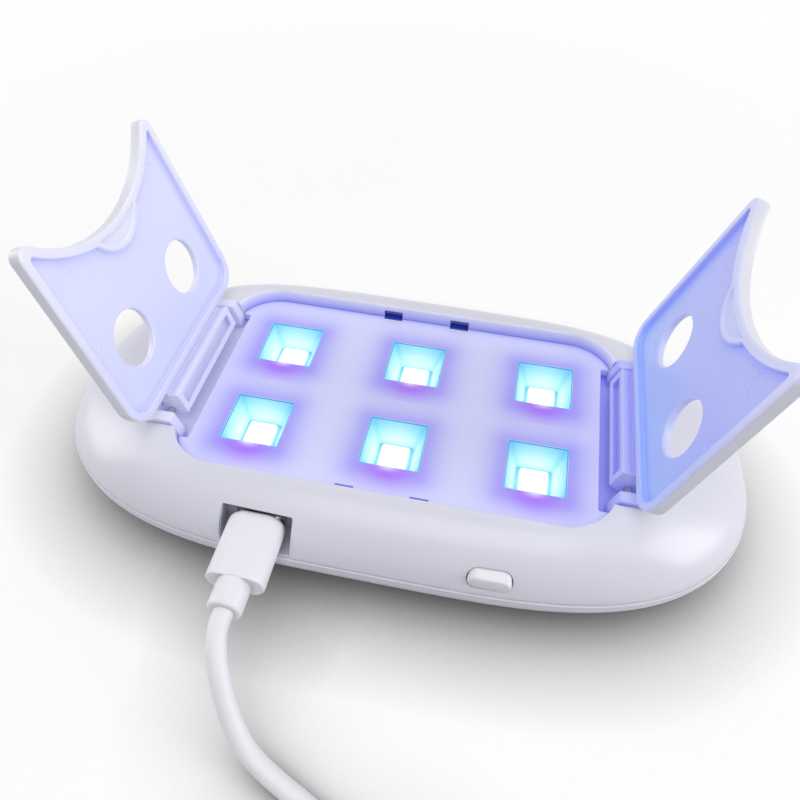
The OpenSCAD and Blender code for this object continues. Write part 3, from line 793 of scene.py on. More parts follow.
# Painted LED light on the panel: a violet halo round each pocket, a painted flare and highlight in front of
# it
PANEL_ABS = Lit("lit_abs_panel", "#e2e3fa", "#dddff6", 0.32, 1.54, where=Field.PANEL, reach_mm=4.2,
                stops=((0.0, "#d8dafc"), (0.3, "#d0d1fc"), (0.7, "#bfbffb"), (1.0, "#aaa6f9")),
                flare="#a965f9", gap="#9090f0", shade_reach_mm=1.4)
# Painted LED light in the pockets: white by the LED and cyan towards the mouth, with a glow and painted shade
# in corners
POCKET_ABS = Lit("lit_abs_pocket", "#cfeefa", "#c8e8f6", 0.35, 1.54,
                 where=Field.POCKET, start_mm=3.2, reach_mm=5.4,
                 stops=((0.0, "#f2fefe"), (0.3, "#d8f8fd"), (0.6, "#b4ecf8"), (1.0, "#84d2f2")),
                 strength=0.22, gap="#45b0d4", shade_reach_mm=1.2)
# Painted shade, tinted by the LEDs' blue light, on the steep part of each pocket's mouth
POCKET_EDGE_ABS = Finish("lit_abs_pocket_edge", "#5c9ad6", "#5692ce", 0.35, 1.54)
# Painted LED light on the legs' faces, paler away from the hinge; the right leg's copies are bluer, with
# deeper painted shade
FIELD_ABS_LEFT = Lit("lit_abs_left_field", "#e4e4fb", "#dfdff8", 0.3, 1.54,
                     where=Field.LEG, start_mm=5.0, reach_mm=40.0,
                     stops=((0.0, "#dcdffe"), (0.4, "#dfe1fd"), (1.0, "#e4e5fd")), gap="#9aa0ec", shade_reach_mm=1.6)
FIELD_ABS_RIGHT = Lit("lit_abs_right_field", "#dcdcfb", "#d7d7f8", 0.3, 1.54,
                      where=Field.LEG, start_mm=5.0, reach_mm=40.0,
                      stops=((0.0, "#b2c8fe"), (0.4, "#bac3fc"), (1.0, "#c0c4fb")), gap="#5a7cfa", shade_reach_mm=1.6)
RIM_ABS_LEFT = Lit("lit_abs_left_rim", "#ebebf8", "#e6e6f5", 0.26, 1.54,
                   where=Field.LEG, start_mm=5.0, reach_mm=40.0,
                   stops=((0.0, "#dedff9"), (0.5, "#e6e7f8"), (1.0, "#f0f0f8")), gap="#a0a4dc", shade_reach_mm=1.6)
RIM_ABS_RIGHT = Lit("lit_abs_right_rim", "#e2e2fa", "#dddef8", 0.26, 1.54,
                    where=Field.LEG, start_mm=5.0, reach_mm=40.0,
                    stops=((0.0, "#c6cefd"), (0.5, "#ced3fb"), (1.0, "#e0e2f8")), gap="#7880ee", shade_reach_mm=1.6)
# Painted light and shade on the hinges: darker further below the crest and in gaps, the right one bluer and
# darker
HINGE_ABS_LEFT = Lit("lit_abs_left_hinge", "#e2e2f4", "#dcdcf0", 0.3, 1.54,
                     where=Field.DEPTH, start_mm=-4.0, reach_mm=8.6,
                     stops=((0.0, "#e6e7fa"), (0.5, "#e2e2f6"), (1.0, "#dedef6")), gap="#8486d2", shade_reach_mm=1.8)
HINGE_ABS_RIGHT = Lit("lit_abs_right_hinge", "#cdcdf6", "#c8c8f2", 0.3, 1.54,
                      where=Field.DEPTH, start_mm=-4.0, reach_mm=8.6,
                      stops=((0.0, "#c9ccfb"), (0.45, "#c0c2fa"), (1.0, "#b2b4f8")),
                      gap="#4a50e4", shade_reach_mm=1.8)
# Solder mask over the board: a glossy lacquer, white, with the LEDs' cyan light painted round them
MASK = Lit("white_solder_mask", "#cfe6ea", "#c6dee4", 0.25, 1.5,
           where=Field.POCKET, start_mm=2.0, reach_mm=3.0,
           stops=((0.0, "#9be6ee"), (0.5, "#78d2e0"), (1.0, "#5cc3d6")), body=0.8)
# Moulded polyamide LED cup, white, with a painted glow of the LED's light so bright that it reads as white
LED_CUP = Lit("lit_polyamide_cup", "#ffffff", "#fafaff", 0.4, 1.53, where=Field.POCKET, reach_mm=4.0,
              stops=((0.0, "#ffffff"), (0.7, "#ffffff"), (1.0, "#f2ffff")), strength=0.5)
# Clear silicone poured over the chip: a wet gloss, washed out by the light behind it
LENS = Lit("lit_silicone_lens", "#ffffff", "#fffaff", 0.1, 1.41, where=Field.POCKET, reach_mm=3.0,
           stops=((0.0, "#ffffff"), (1.0, "#fbf4ff")), strength=0.6)
# Thermoplastic elastomer, moulded and extruded: satin and a little waxy, with a fine grain
# Painted shade on the plugs: they go grey in gaps and inner corners
PLUG_TPE = Finish("white_tpe_plug", "#f4f4f8", "#efeff4", 0.38, 1.5, grain_mm=0.35, bump=0.08, gap="#a2a2b0")
CORD_TPE = Finish("white_tpe_cord", "#f3f3f6", "#eeeef2", 0.42, 1.5, grain_mm=0.3, bump=0.1)
# Woven polyester tape: matt black, its threads drawn twice as coarse as real ones so that they show
TIE = Finish("black_polyester_tie", "#1b1b1e", "#232327", 0.6, 1.5, grain_mm=0.5, bump=0.4,
             stretch=(1, 1, 0.2))
# Transfer-moulded epoxy with a fine filler: matt, near black
EPOXY = Finish("black_moulding_compound", "#1d1d20", "#26262a", 0.55, 1.55, grain_mm=0.15, bump=0.3)
# Glaze over the resistors' film: dark and glossy
FILM = Finish("glazed_resistor_film", "#16161a", "#24242a", 0.3, 1.5)
# Fired ceramic of the capacitor: tan, a dull sheen
CERAMIC = Finish("tan_ceramic", "#b08a62", "#a67f57", 0.45, 1.6, grain_mm=0.2, bump=0.2)
# Nylon, moulded: the glass-filled kind is dull with fine flow marks, the plain kind silky
NYLON_BLACK = Finish("black_glass_filled_nylon", "#1a1a1d", "#222226", 0.5, 1.53, grain_mm=0.2, bump=0.2)
NYLON_WHITE = Finish("white_nylon", "#e6e6e4", "#dededb", 0.4, 1.53)
# Drawn steel under bright nickel: fine lines along the shell, drawn coarser than real ones so that they show
NICKEL = Finish("nickel_plated_steel", "#cfcac0", "#c3beb4", 0.22, 1.5, 1.0, grain_mm=0.2, bump=0.12,
                stretch=(1, 0.1, 1))
# Rolled stainless strip: a warm grey, nearly smooth
SPRING = Finish("stainless_spring_strip", "#c8c0ae", "#bdb5a3", 0.28, 1.5, 1.0, grain_mm=0.2, bump=0.1)
# Zinc plating on turned screws: bluish and slightly cloudy
ZINC = Finish("zinc_plated_steel", "#b9bcc4", "#a9adb8", 0.35, 1.5, 1.0, grain_mm=0.25, bump=0.2)
# Ground wire: bright, with fine lines along the pin
PIN = Finish("ground_steel_wire", "#c4c4c8", "#b6b6bb", 0.25, 1.5, 1.0, grain_mm=0.15, bump=0.1,
             stretch=(1, 0.1, 1))


# Sub-assemblies


@dataclass
class Studio:
    """Camera, lights and floor."""

    # Camera: what it looks at, from where, and its lens, in millimetres and degrees
    target: Point = (-1.09, 0.17, 17.5)
    azimuth: float = 9.66
    elevation: float = 47.68
    roll: float = 2.3
    distance: float = 142.4
    focal: float = 32.405
    sensor: float = 36.0
    # Square soft boxes, with their place in metres and their power in watts. The front one lights the panel
    # and the front of the dome, the back one the far rim, and the low ones at the sides its two ends.
    soft_boxes: tuple[tuple[str, Point, float], ...] = (
        ("front", (0.05, -0.42, 0.86), 2.65), ("back", (0.0, 0.4, 0.9), 1.3),
        ("right", (0.88, -0.05, 0.44), 4.05), ("left", (-0.9, 0.06, 0.34), 2.95))
    box_size: float = 0.6
    # Light of the room on the object
    room_colour: str = "#f7f7ff"
    room_light: float = 0.28
    # The floor lies just under the lamp, and lights it as a real pale floor would. Half size in metres
    floor_z: float = -0.02
    floor_half: float = 6.0
    floor_colour: str = "#cfcfd3"
    # What the camera sees of it is part real shading, up to fade_from metres away and none past fade_to
    shading_share: float = 0.42
    fade_from: float = 0.11
    fade_to: float = 0.3
    # The painted shadow under the body, by how little of the room a point sees within this many metres
    shadow_reach: float = 0.02
    shadow_power: float = 1.55
    # Makes up for lamps that light the floor a little less than white
    shading_gain: float = 1.08

    def camera(self) -> None:
        """Places the camera where the photograph was taken."""
        a, e, roll = (math.radians(v) for v in (self.azimuth, self.elevation, self.roll))
        back = Vector((math.sin(a) * math.cos(e), -math.cos(a) * math.cos(e), math.sin(e)))
        right = (-back).cross(Vector((0, 0, 1))).normalized()
        up = right.cross(-back)
        across = math.cos(roll) * right + math.sin(roll) * up
        upward = math.cos(roll) * up - math.sin(roll) * right
        data = bpy.data.cameras.new("camera")
        data.lens, data.sensor_width = self.focal, self.sensor
        data.clip_start, data.clip_end = 0.005, 20.0
        camera = bpy.data.objects.new("camera", data)
        place = Matrix((across, upward, back)).transposed().to_4x4()
        place.translation = (Vector(self.target) + back * self.distance) * MM
        camera.matrix_world = place
        bpy.context.scene.collection.objects.link(camera)
        bpy.context.scene.camera = camera

    def soft_box(self, name: str, at: Point, power: float) -> None:
        """Hangs a square soft box that looks at the lamp.

        Args:
            name: object name.
            at: place in metres.
            power: power in watts.
        """
        data = bpy.data.lights.new(name, "AREA")
        data.size, data.energy = self.box_size, power
        light = bpy.data.objects.new(name, data)
        light.location = at
        light.rotation_euler = (-Vector(at)).to_track_quat("-Z", "Y").to_euler()
        light.visible_camera = False
        bpy.context.scene.collection.objects.link(light)

    def seen(self, tree: Tree) -> Socket:
        """Which rays end in the camera's eye, straight or by way of metal and glass.

        Args:
            tree: node tree of the floor or the world.

        Returns:
            1 for what is seen, and 0 for what lights the object.
        """
        rays = add(tree, "ShaderNodeLightPath").outputs
        pick = {0: rays["Is Camera Ray"], 1: rays["Is Glossy Ray"]}
        pick = {0: add(tree, "ShaderNodeMath", pick, operation="MAXIMUM").outputs[0]}
        pick[1] = rays["Is Transmission Ray"]
        return add(tree, "ShaderNodeMath", pick, operation="MAXIMUM").outputs[0]

    def world(self) -> None:
        """Even pale room light. What the camera, metal and glass see behind the lamp is white."""
        world = bpy.data.worlds.new("studio")
        world.use_nodes = True
        tree = world.node_tree
        tree.nodes.clear()
        room = {"Color": linear(self.room_colour), "Strength": self.room_light}
        room = add(tree, "ShaderNodeBackground", room).outputs[0]
        white = add(tree, "ShaderNodeBackground", {"Color": (1, 1, 1, 1), "Strength": 1.0}).outputs[0]
        mix = add(tree, "ShaderNodeMixShader", {0: self.seen(tree), 1: room, 2: white})
        add(tree, "ShaderNodeOutputWorld", {"Surface": mix.outputs[0]})
        bpy.context.scene.world = world

    def floor(self) -> None:
        """Wide pale floor with part of the lamp's rendered shadow and a painted one."""
        half, z = self.floor_half, self.floor_z * MM
        mesh = bpy.data.meshes.new("floor")
        corners = [(-half, -half, z), (half, -half, z), (half, half, z), (-half, half, z)]
        mesh.from_pydata(corners, [], [(0, 1, 2, 3)])
        floor = bpy.data.objects.new("floor", mesh)
        bpy.context.scene.collection.objects.link(floor)
        mesh.materials.append(self.floor_material())

    def floor_material(self) -> Material:
        """Matt pale paint. Seen by the camera it fades to white, and near the lamp keeps part of its rendered
        shadow and has a painted shadow.

        Returns:
            The material.
        """
        material = bpy.data.materials.new("pale_floor")
        material.use_nodes = True
        tree = material.node_tree
        tree.nodes.clear()
        place = add(tree, "ShaderNodeTexCoord").outputs["Object"]
        away = add(tree, "ShaderNodeVectorMath", {0: place}, operation="LENGTH").outputs["Value"]
        share = add(tree, "ShaderNodeMapRange", {
            "Value": away, "From Min": self.fade_from, "From Max": self.fade_to,
            "To Min": self.shading_share, "To Max": 0.0}).outputs["Result"]
        # Painted shadow: what the camera sees of the floor, white and shaded alike, darkens where the lamp
        # hides the room from it
        reach = {"Distance": self.shadow_reach}
        room = add(tree, "ShaderNodeAmbientOcclusion", reach, samples=16).outputs["AO"]
        depth = add(tree, "ShaderNodeMath", {0: room, 1: self.shadow_power}, operation="POWER").outputs[0]
        gain = {0: (self.shading_gain,) * 3, "Scale": depth}
        tone = add(tree, "ShaderNodeVectorMath", gain, operation="SCALE").outputs[0]
        shaded = add(tree, "ShaderNodeBsdfDiffuse", {"Color": tone}).outputs[0]
        white = add(tree, "ShaderNodeEmission", {"Color": depth, "Strength": 1.0}).outputs[0]
        shown = add(tree, "ShaderNodeMixShader", {0: share, 1: white, 2: shaded}).outputs[0]
        real = add(tree, "ShaderNodeBsdfDiffuse", {"Color": linear(self.floor_colour)}).outputs[0]
        mix = add(tree, "ShaderNodeMixShader", {0: self.seen(tree), 1: real, 2: shown})
        add(tree, "ShaderNodeOutputMaterial", {"Surface": mix.outputs[0]})
        return material

    def build(self) -> None:
        """Sets the whole studio up."""
        bpy.context.scene.view_settings.view_transform = "Standard"
        self.camera()
        self.world()
        for name, at, power in self.soft_boxes:
            self.soft_box(name, at, power)
        self.floor()


@dataclass
class Lead:
    """USB lead: the cord in one length, from the plug in the port to the charger plug."""

    diameter: float = 3.4
    length_m: float = 0.912
    # Coil: its turns, the height of its lower layer, and where and at what angle the cord joins it
    turns: float = 6.5
    rings_per_turn: int = 36
    coil_z: float = 1.9
    coil_entry: tuple[float, float] = (21, -79)
    coil_entry_a: float = 66
    # Tie: where it goes round the coil, and the thickness and half width of its tape
    tie_a: float = 158
    tie_t: float = 0.36
    tie_half: float = 1.95
    # Half width and half thickness of the plug's moulded body, and where it starts and ends
    plug_half: tuple[float, float] = (5.15, 2.8)
    plug_y: tuple[float, float] = (-30.4, -43.0)
    # Charger plug: where its relief starts and which way it points, and how far relief and body reach
    charger_at: Point = (-21.5, -121, 4.1)
    charger_a: float = 162
    relief_end: float = 9.0
    charger_end: float = 30.0
    # Route from the collar to the coil, in metres
    run: tuple[Point, ...] = (
        (-0.0201, -0.048, 0.0142), (-0.0201, -0.050, 0.0142), (-0.0198, -0.052, 0.0139),
        (-0.0192, -0.054, 0.0131), (-0.0184, -0.056, 0.0118), (-0.0173, -0.058, 0.0101),
        (-0.0160, -0.060, 0.0082), (-0.0144, -0.062, 0.0062), (-0.0123, -0.064, 0.0044),
        (-0.0097, -0.0656, 0.0031), (-0.0067, -0.067, 0.0023), (-0.0034, -0.0684, 0.0019),
        (0.0002, -0.070, 0.0019), (0.005, -0.072, 0.0019), (0.010, -0.0742, 0.0019),
        (0.0148, -0.0763, 0.0019))

    def __post_init__(self) -> None:
        """Works out the coil's sizes from the cord's diameter."""
        self.pitch = self.diameter + 0.5
        self.middle_r = 6 * self.diameter
        self.outer_r = self.middle_r + self.pitch * self.turns / 4
        a = math.radians(self.coil_entry_a)
        self.centre = Vector((*self.coil_entry, 0)) - self.outer_r * Vector((math.cos(a), math.sin(a), 0))

    def coil_point(self, turn: float) -> Vector:
        """A point of the coil: it spirals in, climbs a layer, and spirals out.

        Args:
            turn: turns since the coil's start.

        Returns:
            The point.
        """
        half = self.turns / 2
        a = math.radians(self.coil_entry_a - 360 * turn)
        r = self.outer_r - self.pitch * (half - abs(half - turn))
        climb = min(1.0, max(0.0, (turn - half) * 2 + 0.5))
        return self.centre + Vector((r * math.cos(a), r * math.sin(a), self.coil_z + self.pitch * climb))

    def heading(self, turn: float) -> Vector:
        """Direction of the coil after some turns, as if it were round."""
        a = math.radians(self.coil_entry_a - 360 * turn)
        return Vector((math.sin(a), -math.cos(a), 0))

    def route(self) -> list[Vector]:
        """Points of the whole cord, in millimetres.

        Returns:
            The points, from the collar to the charger plug's relief.
        """
        count = int(self.turns * self.rings_per_turn)
        coil = [self.coil_point(self.turns * i / count) for i in range(count + 1)]
        start, end = self.heading(0), self.heading(self.turns)
        first = coil[0] - self.diameter * start
        last = coil[-1] + self.diameter * end
        a = math.radians(self.charger_a)
        charger = Vector((math.cos(a), math.sin(a), 0))
        relief = Vector(self.charger_at)
        tail = [last + 3 * end - Vector((0, 0, 0.1)), relief - 6 * charger + Vector((0, 0, 0.2)),
                relief - 3 * charger, relief]
        return [Vector(p) / MM for p in self.run] + [first - 2 * start, first] + coil + [last] + tail

    def smooth(self, points: list[Vector], steps: int = 3) -> list[Vector]:
        """Curve through the points that turns evenly between them.

        Args:
            points: points that the curve passes through.
            steps: points of the curve for each of them.

        Returns:
            The curve's points.
        """
        found = []
        for i in range(len(points) - 1):
            p0, p1, p2, p3 = (points[max(0, min(len(points) - 1, i + k))] for k in (-1, 0, 1, 2))
            span = (p2 - p1).length
            m1 = (p2 - p0) * (span / max((p2 - p0).length, 1e-6))
            m2 = (p3 - p1) * (span / max((p3 - p1).length, 1e-6))
            for k in range(steps):
                t = k / steps
                found.append((2 * t ** 3 - 3 * t ** 2 + 1) * p1 + (t ** 3 - 2 * t ** 2 + t) * m1
                             + (3 * t ** 2 - 2 * t ** 3) * p2 + (t ** 3 - t ** 2) * m2)
        return found + [points[-1]]

    def cord(self, with_pieces: list[Piece]) -> None:
        """Args:
            with_pieces: the plugs and the tie, which are on it; not used.
        """
        points = self.smooth(self.route())
        curve = bpy.data.curves.new("lead_cord", "CURVE")
        curve.dimensions = "3D"
        curve.bevel_depth = self.diameter / 2 * MM
        curve.bevel_resolution = 5
        curve.use_fill_caps = True
        line = curve.splines.new("POLY")
        line.points.add(len(points) - 1)
        for target, point in zip(line.points, points):
            target.co = (*(point * MM), 1)
        line.use_smooth = True
        curve.materials.append(CORD_TPE.material())
        cord = bpy.data.objects.new("lead_cord", curve)
        bpy.context.scene.collection.objects.link(cord)
        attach(cord, "base")
        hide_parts("cord_run", "cord_coil", "cord_tail")
        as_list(with_pieces)
        LOG.info("lead_cord: %d points", len(points))

    def plug_ring(self, y: float, inset: float) -> Ring:
        """Round-sided section of the plug's moulded body, drawn in by an inset, less so in its thickness.

        Args:
            y: place along the plug.
            inset: how far the section is drawn in.

        Returns:
            The ring of points.
        """
        r = self.plug_half[1] - inset / 3
        half = self.plug_half[0] - inset - r
        sides = 64
        ring = []
        for i in range(sides):
            a = 2 * math.pi * (i + 0.5) / sides
            c, s = math.cos(a), math.sin(a)
            ring.append((Lamp.port_x + math.copysign(half, c) + r * c, y, Lamp.socket_z + r * s))
        return ring

    def plug(self) -> list[Piece]:
        """Moulded body and collar of the plug in the port.

        Returns:
            Both pieces.
        """
        # Roundings at the end in the port and at the collar
        nose, heel = 1.4, 0.4
        front, back = self.plug_y
        turns = [math.radians(90 * k / 8) for k in range(9)]
        rings = [self.plug_ring(front - nose * (1 - math.cos(a)), nose * (1 - math.sin(a))) for a in turns]
        rings += [self.plug_ring(back + heel * (1 - math.sin(a)), heel * (1 - math.cos(a))) for a in turns]
        body = solid("plug_moulding", loft(rings), [PLUG_TPE.material()])
        at = Matrix.Translation((Lamp.port_x, 0, Lamp.socket_z)) @ LAID
        shell_slot = stack(rounded(4.125, 1.2, 1.19), [(0, 28), (0, 32.4)])
        combine(body, Cut.AWAY, shell_slot.placed(at))
        dress(body, "base", "plug_plastic", "plug_body")
        collar_r, collar_y = 2.95, (43, 48)
        levels = [(0, collar_y[0]), (0, collar_y[1] - 1.5), *lip(0.55, collar_y[1], opening=False)]
        collar_shape = stack(disc(collar_r), levels).placed(at)
        collar = solid("collar_moulding", collar_shape, [PLUG_TPE.material()])
        dress(collar, "base", "plug_plastic", "plug_collar")
        return [body, collar]

    def at_charger(self, shape: Shape) -> Shape:
        """Lays a shape that is drawn upright along the charger plug, from the relief's end.

        Args:
            shape: the shape, drawn upright from the height 0.

        Returns:
            The laid shape.
        """
        turn = Euler((math.radians(-90), 0, 0)).to_matrix().to_4x4()
        aim = Euler((0, 0, math.radians(self.charger_a - 90))).to_matrix().to_4x4()
        return shape.placed(Matrix.Translation(self.charger_at) @ aim @ turn)

    def charger(self) -> list[Piece]:
        """Charger plug at the far end: relief with grooves, and body with finger ribs.

        Returns:
            Both pieces.
        """
        levels = []
        rings, groove = 36, 0.28
        for k in range(rings + 1):
            z = self.relief_end * k / rings
            sunk = groove if 1.2 < z < 8 and (k // 3) % 2 else 0.0
            levels.append((0.7 * z / self.relief_end - sunk, z))
        relief_shape = self.at_charger(stack(disc(2.3), levels))
        relief = solid("charger_relief_moulding", relief_shape, [PLUG_TPE.material()])
        dress(relief, "base", "plug_plastic", "charger_plug_relief")
        body_levels = [*lip(0.8, self.relief_end, up=-1, opening=False)[::-1], (0, 13)]
        ribs, first_rib, rib_pitch, rib_depth = 5, 14, 1.6, 0.25
        for k in range(ribs):
            z = first_rib + rib_pitch * k
            body_levels += [(0, z), (-rib_depth, z + 0.25), (-rib_depth, z + 0.65), (0, z + 0.9)]
        body_levels += [(0, 23), *lip(0.5, self.charger_end, opening=False)]
        body_shape = self.at_charger(stack(rounded(7.9, 4.1, 1.6), body_levels))
        body = solid("charger_body_moulding", body_shape, [PLUG_TPE.material()])
        shell_slot = stack(rounded(6.0, 2.25, 0.05), [(0, self.charger_end - 3), (0, self.charger_end + 1)])
        combine(body, Cut.AWAY, self.at_charger(shell_slot))
        dress(body, "base", "plug_plastic", "charger_plug_body")
        return [relief, body]

    def tie(self) -> Piece:
        """Band of flat woven tape round the coil.

        Returns:
            The tie.
        """
        # Slack of the band beside the coil and over it
        beside, over = 0.33, 0.1
        half_x = self.pitch * (self.turns - 0.5) / 4 + self.diameter / 2 + beside
        half_z = (self.coil_z + self.pitch + self.diameter / 2 + over + self.tie_t) / 2
        outer = rounded(half_x, half_z, 1.2, (0, half_z), 8)
        t, w = self.tie_t, self.tie_half
        rings = [level(outer(grow), side) for grow, side in ((-t, -w), (-t, w), (0, w), (0, -w))]
        shape = loft(rings, closed=True).placed(LAID)
        turn = Euler((0, 0, math.radians(self.tie_a))).to_matrix().to_4x4()
        # The two layers don't lie quite over each other, so the band is a little off the middle radius
        place = Matrix.Translation(self.centre) @ turn @ Matrix.Translation((self.middle_r - 0.45, 0, 0))
        tie = solid("lead_tie", shape.placed(place), [TIE.material()])
        return dress(tie, "base", "tie_plastic", "cord_tie")

    def build(self) -> None:
        """Makes the plug, the charger plug, the tie and the cord."""
        pieces = [*self.plug(), *self.charger(), self.tie()]
        for node, finish in (("plug_shell", NICKEL), ("charger_plug_shell", NICKEL),
                             ("charger_plug_tongue", NYLON_WHITE)):
            wear(node, finish)
            pieces.append(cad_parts[node])
        self.cord(pieces)


def wear(node: str, finish: Finish) -> None:
    """Gives a node of the frame its finish.

    Args:
        node: the node's name.
        finish: the finish.
    """
    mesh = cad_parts[node].data
    mesh.materials.clear()
    mesh.materials.append(finish.material())
    LOG.info("%s: %s", node, finish.name)


@dataclass
class Housing:
    """LED-side housing: the dome with the recess wall, hinge troughs and ears, port and button hole."""

    # The recess's rim is rounded over this far sideways and down
    rim: tuple[float, float] = (0.42, 1.1)
    # Dome: the power of its profile, its rings, and the rounding of its edge at the seam
    dome_p: float = 1.65
    dome_steps: int = 40
    seam_r: float = 0.28
    # Hinge troughs: both ends along x, half length, floor and roof, and where the slot above them stops
    trough_x: tuple[float, float] = (38.0, 45.9)
    trough_y: float = 17.7
    trough_z: float = 15.5
    trough_roof: float = 19.3
    stop_x: float = 44.65
    # Blocks that the troughs are cut into: both ends along x, half length and underside
    block_x: tuple[float, float] = (36.9, 47.3)
    block_y: float = 19
    block_z: float = 14.5
    # Port: both ends along x and z, and how far in front of the body's middle its floor lies
    port: tuple[float, float, float, float] = (-26.5, -13.7, 11.2, 17.35)
    port_back: float = 29.0
    # The socket and the button's stem have their openings as far as this
    hole_back: float = 27.0
    # Corners of an ear, from the hinge axis in x and z
    ear: tuple[tuple[float, float], ...] = (
        (-3.4, -3.8), (-3.1, -1.45), (-1.9, 2.2), (0.9, 2.2), (3.4, 1.0), (3.4, -3.8))

    def recess(self, grow: float) -> Flat:
        """Recess outline matched point by point to the crest's.

        Args:
            grow: how far it is grown.

        Returns:
            The points, as many as round the body.
        """
        r = Lamp.recess_r + grow
        core_x, core_y = Lamp.recess_half[0] - Lamp.recess_r, Lamp.recess_half[1] - Lamp.recess_r
        points = []
        for x, y in Lamp.around(Lamp.crest):
            core = Vector((max(-core_x, min(core_x, x)), max(-core_y, min(core_y, y))))
            out = Vector((x, y)) - core
            points.append(tuple(core + out.normalized() * r))
        return points

    def shell(self) -> Shape:
        """Dome, rim, recess wall and inner skin as one closed loop of rings.

        Returns:
            The closed surface.
        """
        crest = Lamp.around(Lamp.crest)
        half_l, half_w = Lamp.half_l - Lamp.seam_step, Lamp.half_w - Lamp.seam_step
        outer = Lamp.around(lambda a: Lamp.oval(a, half_l, half_w))
        # Finish 1, on the recess wall and its rounding, has painted LED light and shade
        rings = [level(self.recess(0), Lamp.flange_z), level(self.recess(0), Lamp.crest_z - 1.2)]
        paint = [1, 1]
        for k in range(9):
            a = math.radians(90 * k / 8)
            rings.append(level(self.recess(self.rim[0] * (1 - math.cos(a))),
                               Lamp.crest_z - self.rim[1] * (1 - math.sin(a))))
            paint.append(1 if k < 8 else 0)
        rise = Lamp.crest_z - Lamp.seam_z
        for k in range(1, self.dome_steps):
            t = math.radians(90 * k / self.dome_steps)
            z = Lamp.seam_z + rise * math.cos(t) ** (2 / self.dome_p)
            if z > Lamp.seam_z + self.seam_r:
                rings.append(between(crest, outer, math.sin(t) ** (2 / self.dome_p), z))
                paint.append(0)
        for k in range(5):
            a = math.radians(90 * k / 4)
            inset = self.seam_r * (1 - math.cos(a))
            drawn = Lamp.around(lambda a, s=inset: Lamp.oval(a, half_l - s, half_w - s))
            rings.append(level(drawn, Lamp.seam_z + self.seam_r * (1 - math.sin(a))))
            paint.append(0)
        inner = Lamp.around(lambda a: Lamp.oval(a, half_l - Lamp.wall, half_w - Lamp.wall))
        rings.append(level(inner, Lamp.seam_z))
        paint.append(2)
        for k in range(10, 1, -1):
            t = math.radians(90 * k / 11)
            rings.append(between(crest, inner, math.sin(t) ** (2 / self.dome_p),
                                 Lamp.seam_z + (rise - Lamp.wall) * math.cos(t) ** (2 / self.dome_p)))
            paint.append(2)
        behind = self.recess(Lamp.tub_wall)
        rings += [level(behind, Lamp.crest_z - 2.2), level(behind, Lamp.flange_z)]
        paint += [2, 2]
        return loft(rings, closed=True, paint=paint)

    def dome_y(self, z: float, inset: float) -> float:
        """How far the dome's skin stands forward in the middle.

        Args:
            z: height.
            inset: depth below the skin.

        Returns:
            The distance from the middle of the body.
        """
        crest_y = Lamp.crest_half[1]
        h = (z - Lamp.seam_z) / (Lamp.crest_z - Lamp.seam_z)
        out = (1 - h ** self.dome_p) ** (1 / self.dome_p)
        return crest_y + (Lamp.half_w - Lamp.seam_step - crest_y) * out - inset

    def front_block(self, x0: float, x1: float, z0: float, z1: float, back: float) -> Shape:
        """Block behind the front skin.

        Args:
            x0: left side.
            x1: right side.
            z0: underside.
            z1: upper side.
            back: distance of its back from the middle of the body.

        Returns:
            The block, from the middle of the skin's thickness to its back.
        """
        steps, inset = 6, 1.3
        heights = [z0 + (z1 - z0) * k / steps for k in range(steps + 1)]
        section = [*((-self.dome_y(z, inset), z) for z in heights), (-back, z1), (-back, z0)]
        return loft([[(x, y, z) for y, z in section] for x in (x0, x1)])

    def front_blocks(self) -> Shape:
        """Walls behind the skin round the port and the button.

        Returns:
            Both blocks.
        """
        wall, half = 1.2, 5.5
        port = self.front_block(self.port[0] - wall, self.port[1] + wall, 10.56, 18.5, self.port_back - 1)
        button = self.front_block(Lamp.button_x - half, Lamp.button_x + half, 11.4, 17.3, 28.6)
        return port + button

    def hinge_blocks(self) -> Shape:
        """Blocks that the hinge troughs are cut into, low enough inside the recess to clear the panel.

        Returns:
            Both blocks.
        """
        x0, x1 = self.block_x
        block = box((x0, -self.block_y, self.block_z), (x1, self.block_y, Lamp.crest_z - 1.9))
        piece = solid("hinge_blocks", both_ends(block), [HOUSING_ABS.material()])
        outline = rounded(*Lamp.recess_half, Lamp.recess_r, steps=16)
        combine(piece, Cut.AWAY, stack(outline, [(-0.02, self.trough_z + 0.15), (-0.02, 22)]))
        shape = shape_of(piece)
        bpy.data.objects.remove(piece)
        return shape

    def sunk(self, skin: BVHTree, outline: Outline, radius: float,
             tail: list[tuple[Outline, float]]) -> Shape:
        """Opening in the front skin whose rounded edge follows the skin.

        Args:
            skin: search tree of the housing.
            outline: outline in x and z.
            radius: rounding of the edge.
            tail: further outlines with their depth from the middle of the body.

        Returns:
            The cutting shape.
        """
        # The first ring stands clear of the skin, which bulges between the opening's corners
        rings = [[(x, -Lamp.half_w - 5, z) for x, z in outline(radius)]]
        for grow, depth in reversed(lip(radius, 0.0)):
            ring = []
            for x, z in outline(grow):
                hit = skin.ray_cast(Vector((x, -60, z)), Vector((0, 1, 0)))[0]
                ring.append((x, (hit.y if hit else -Lamp.half_w) - depth, z))
            rings.append(ring)
        rings += [[(x, -depth, z) for x, z in shape(0)] for shape, depth in tail]
        return loft(rings)

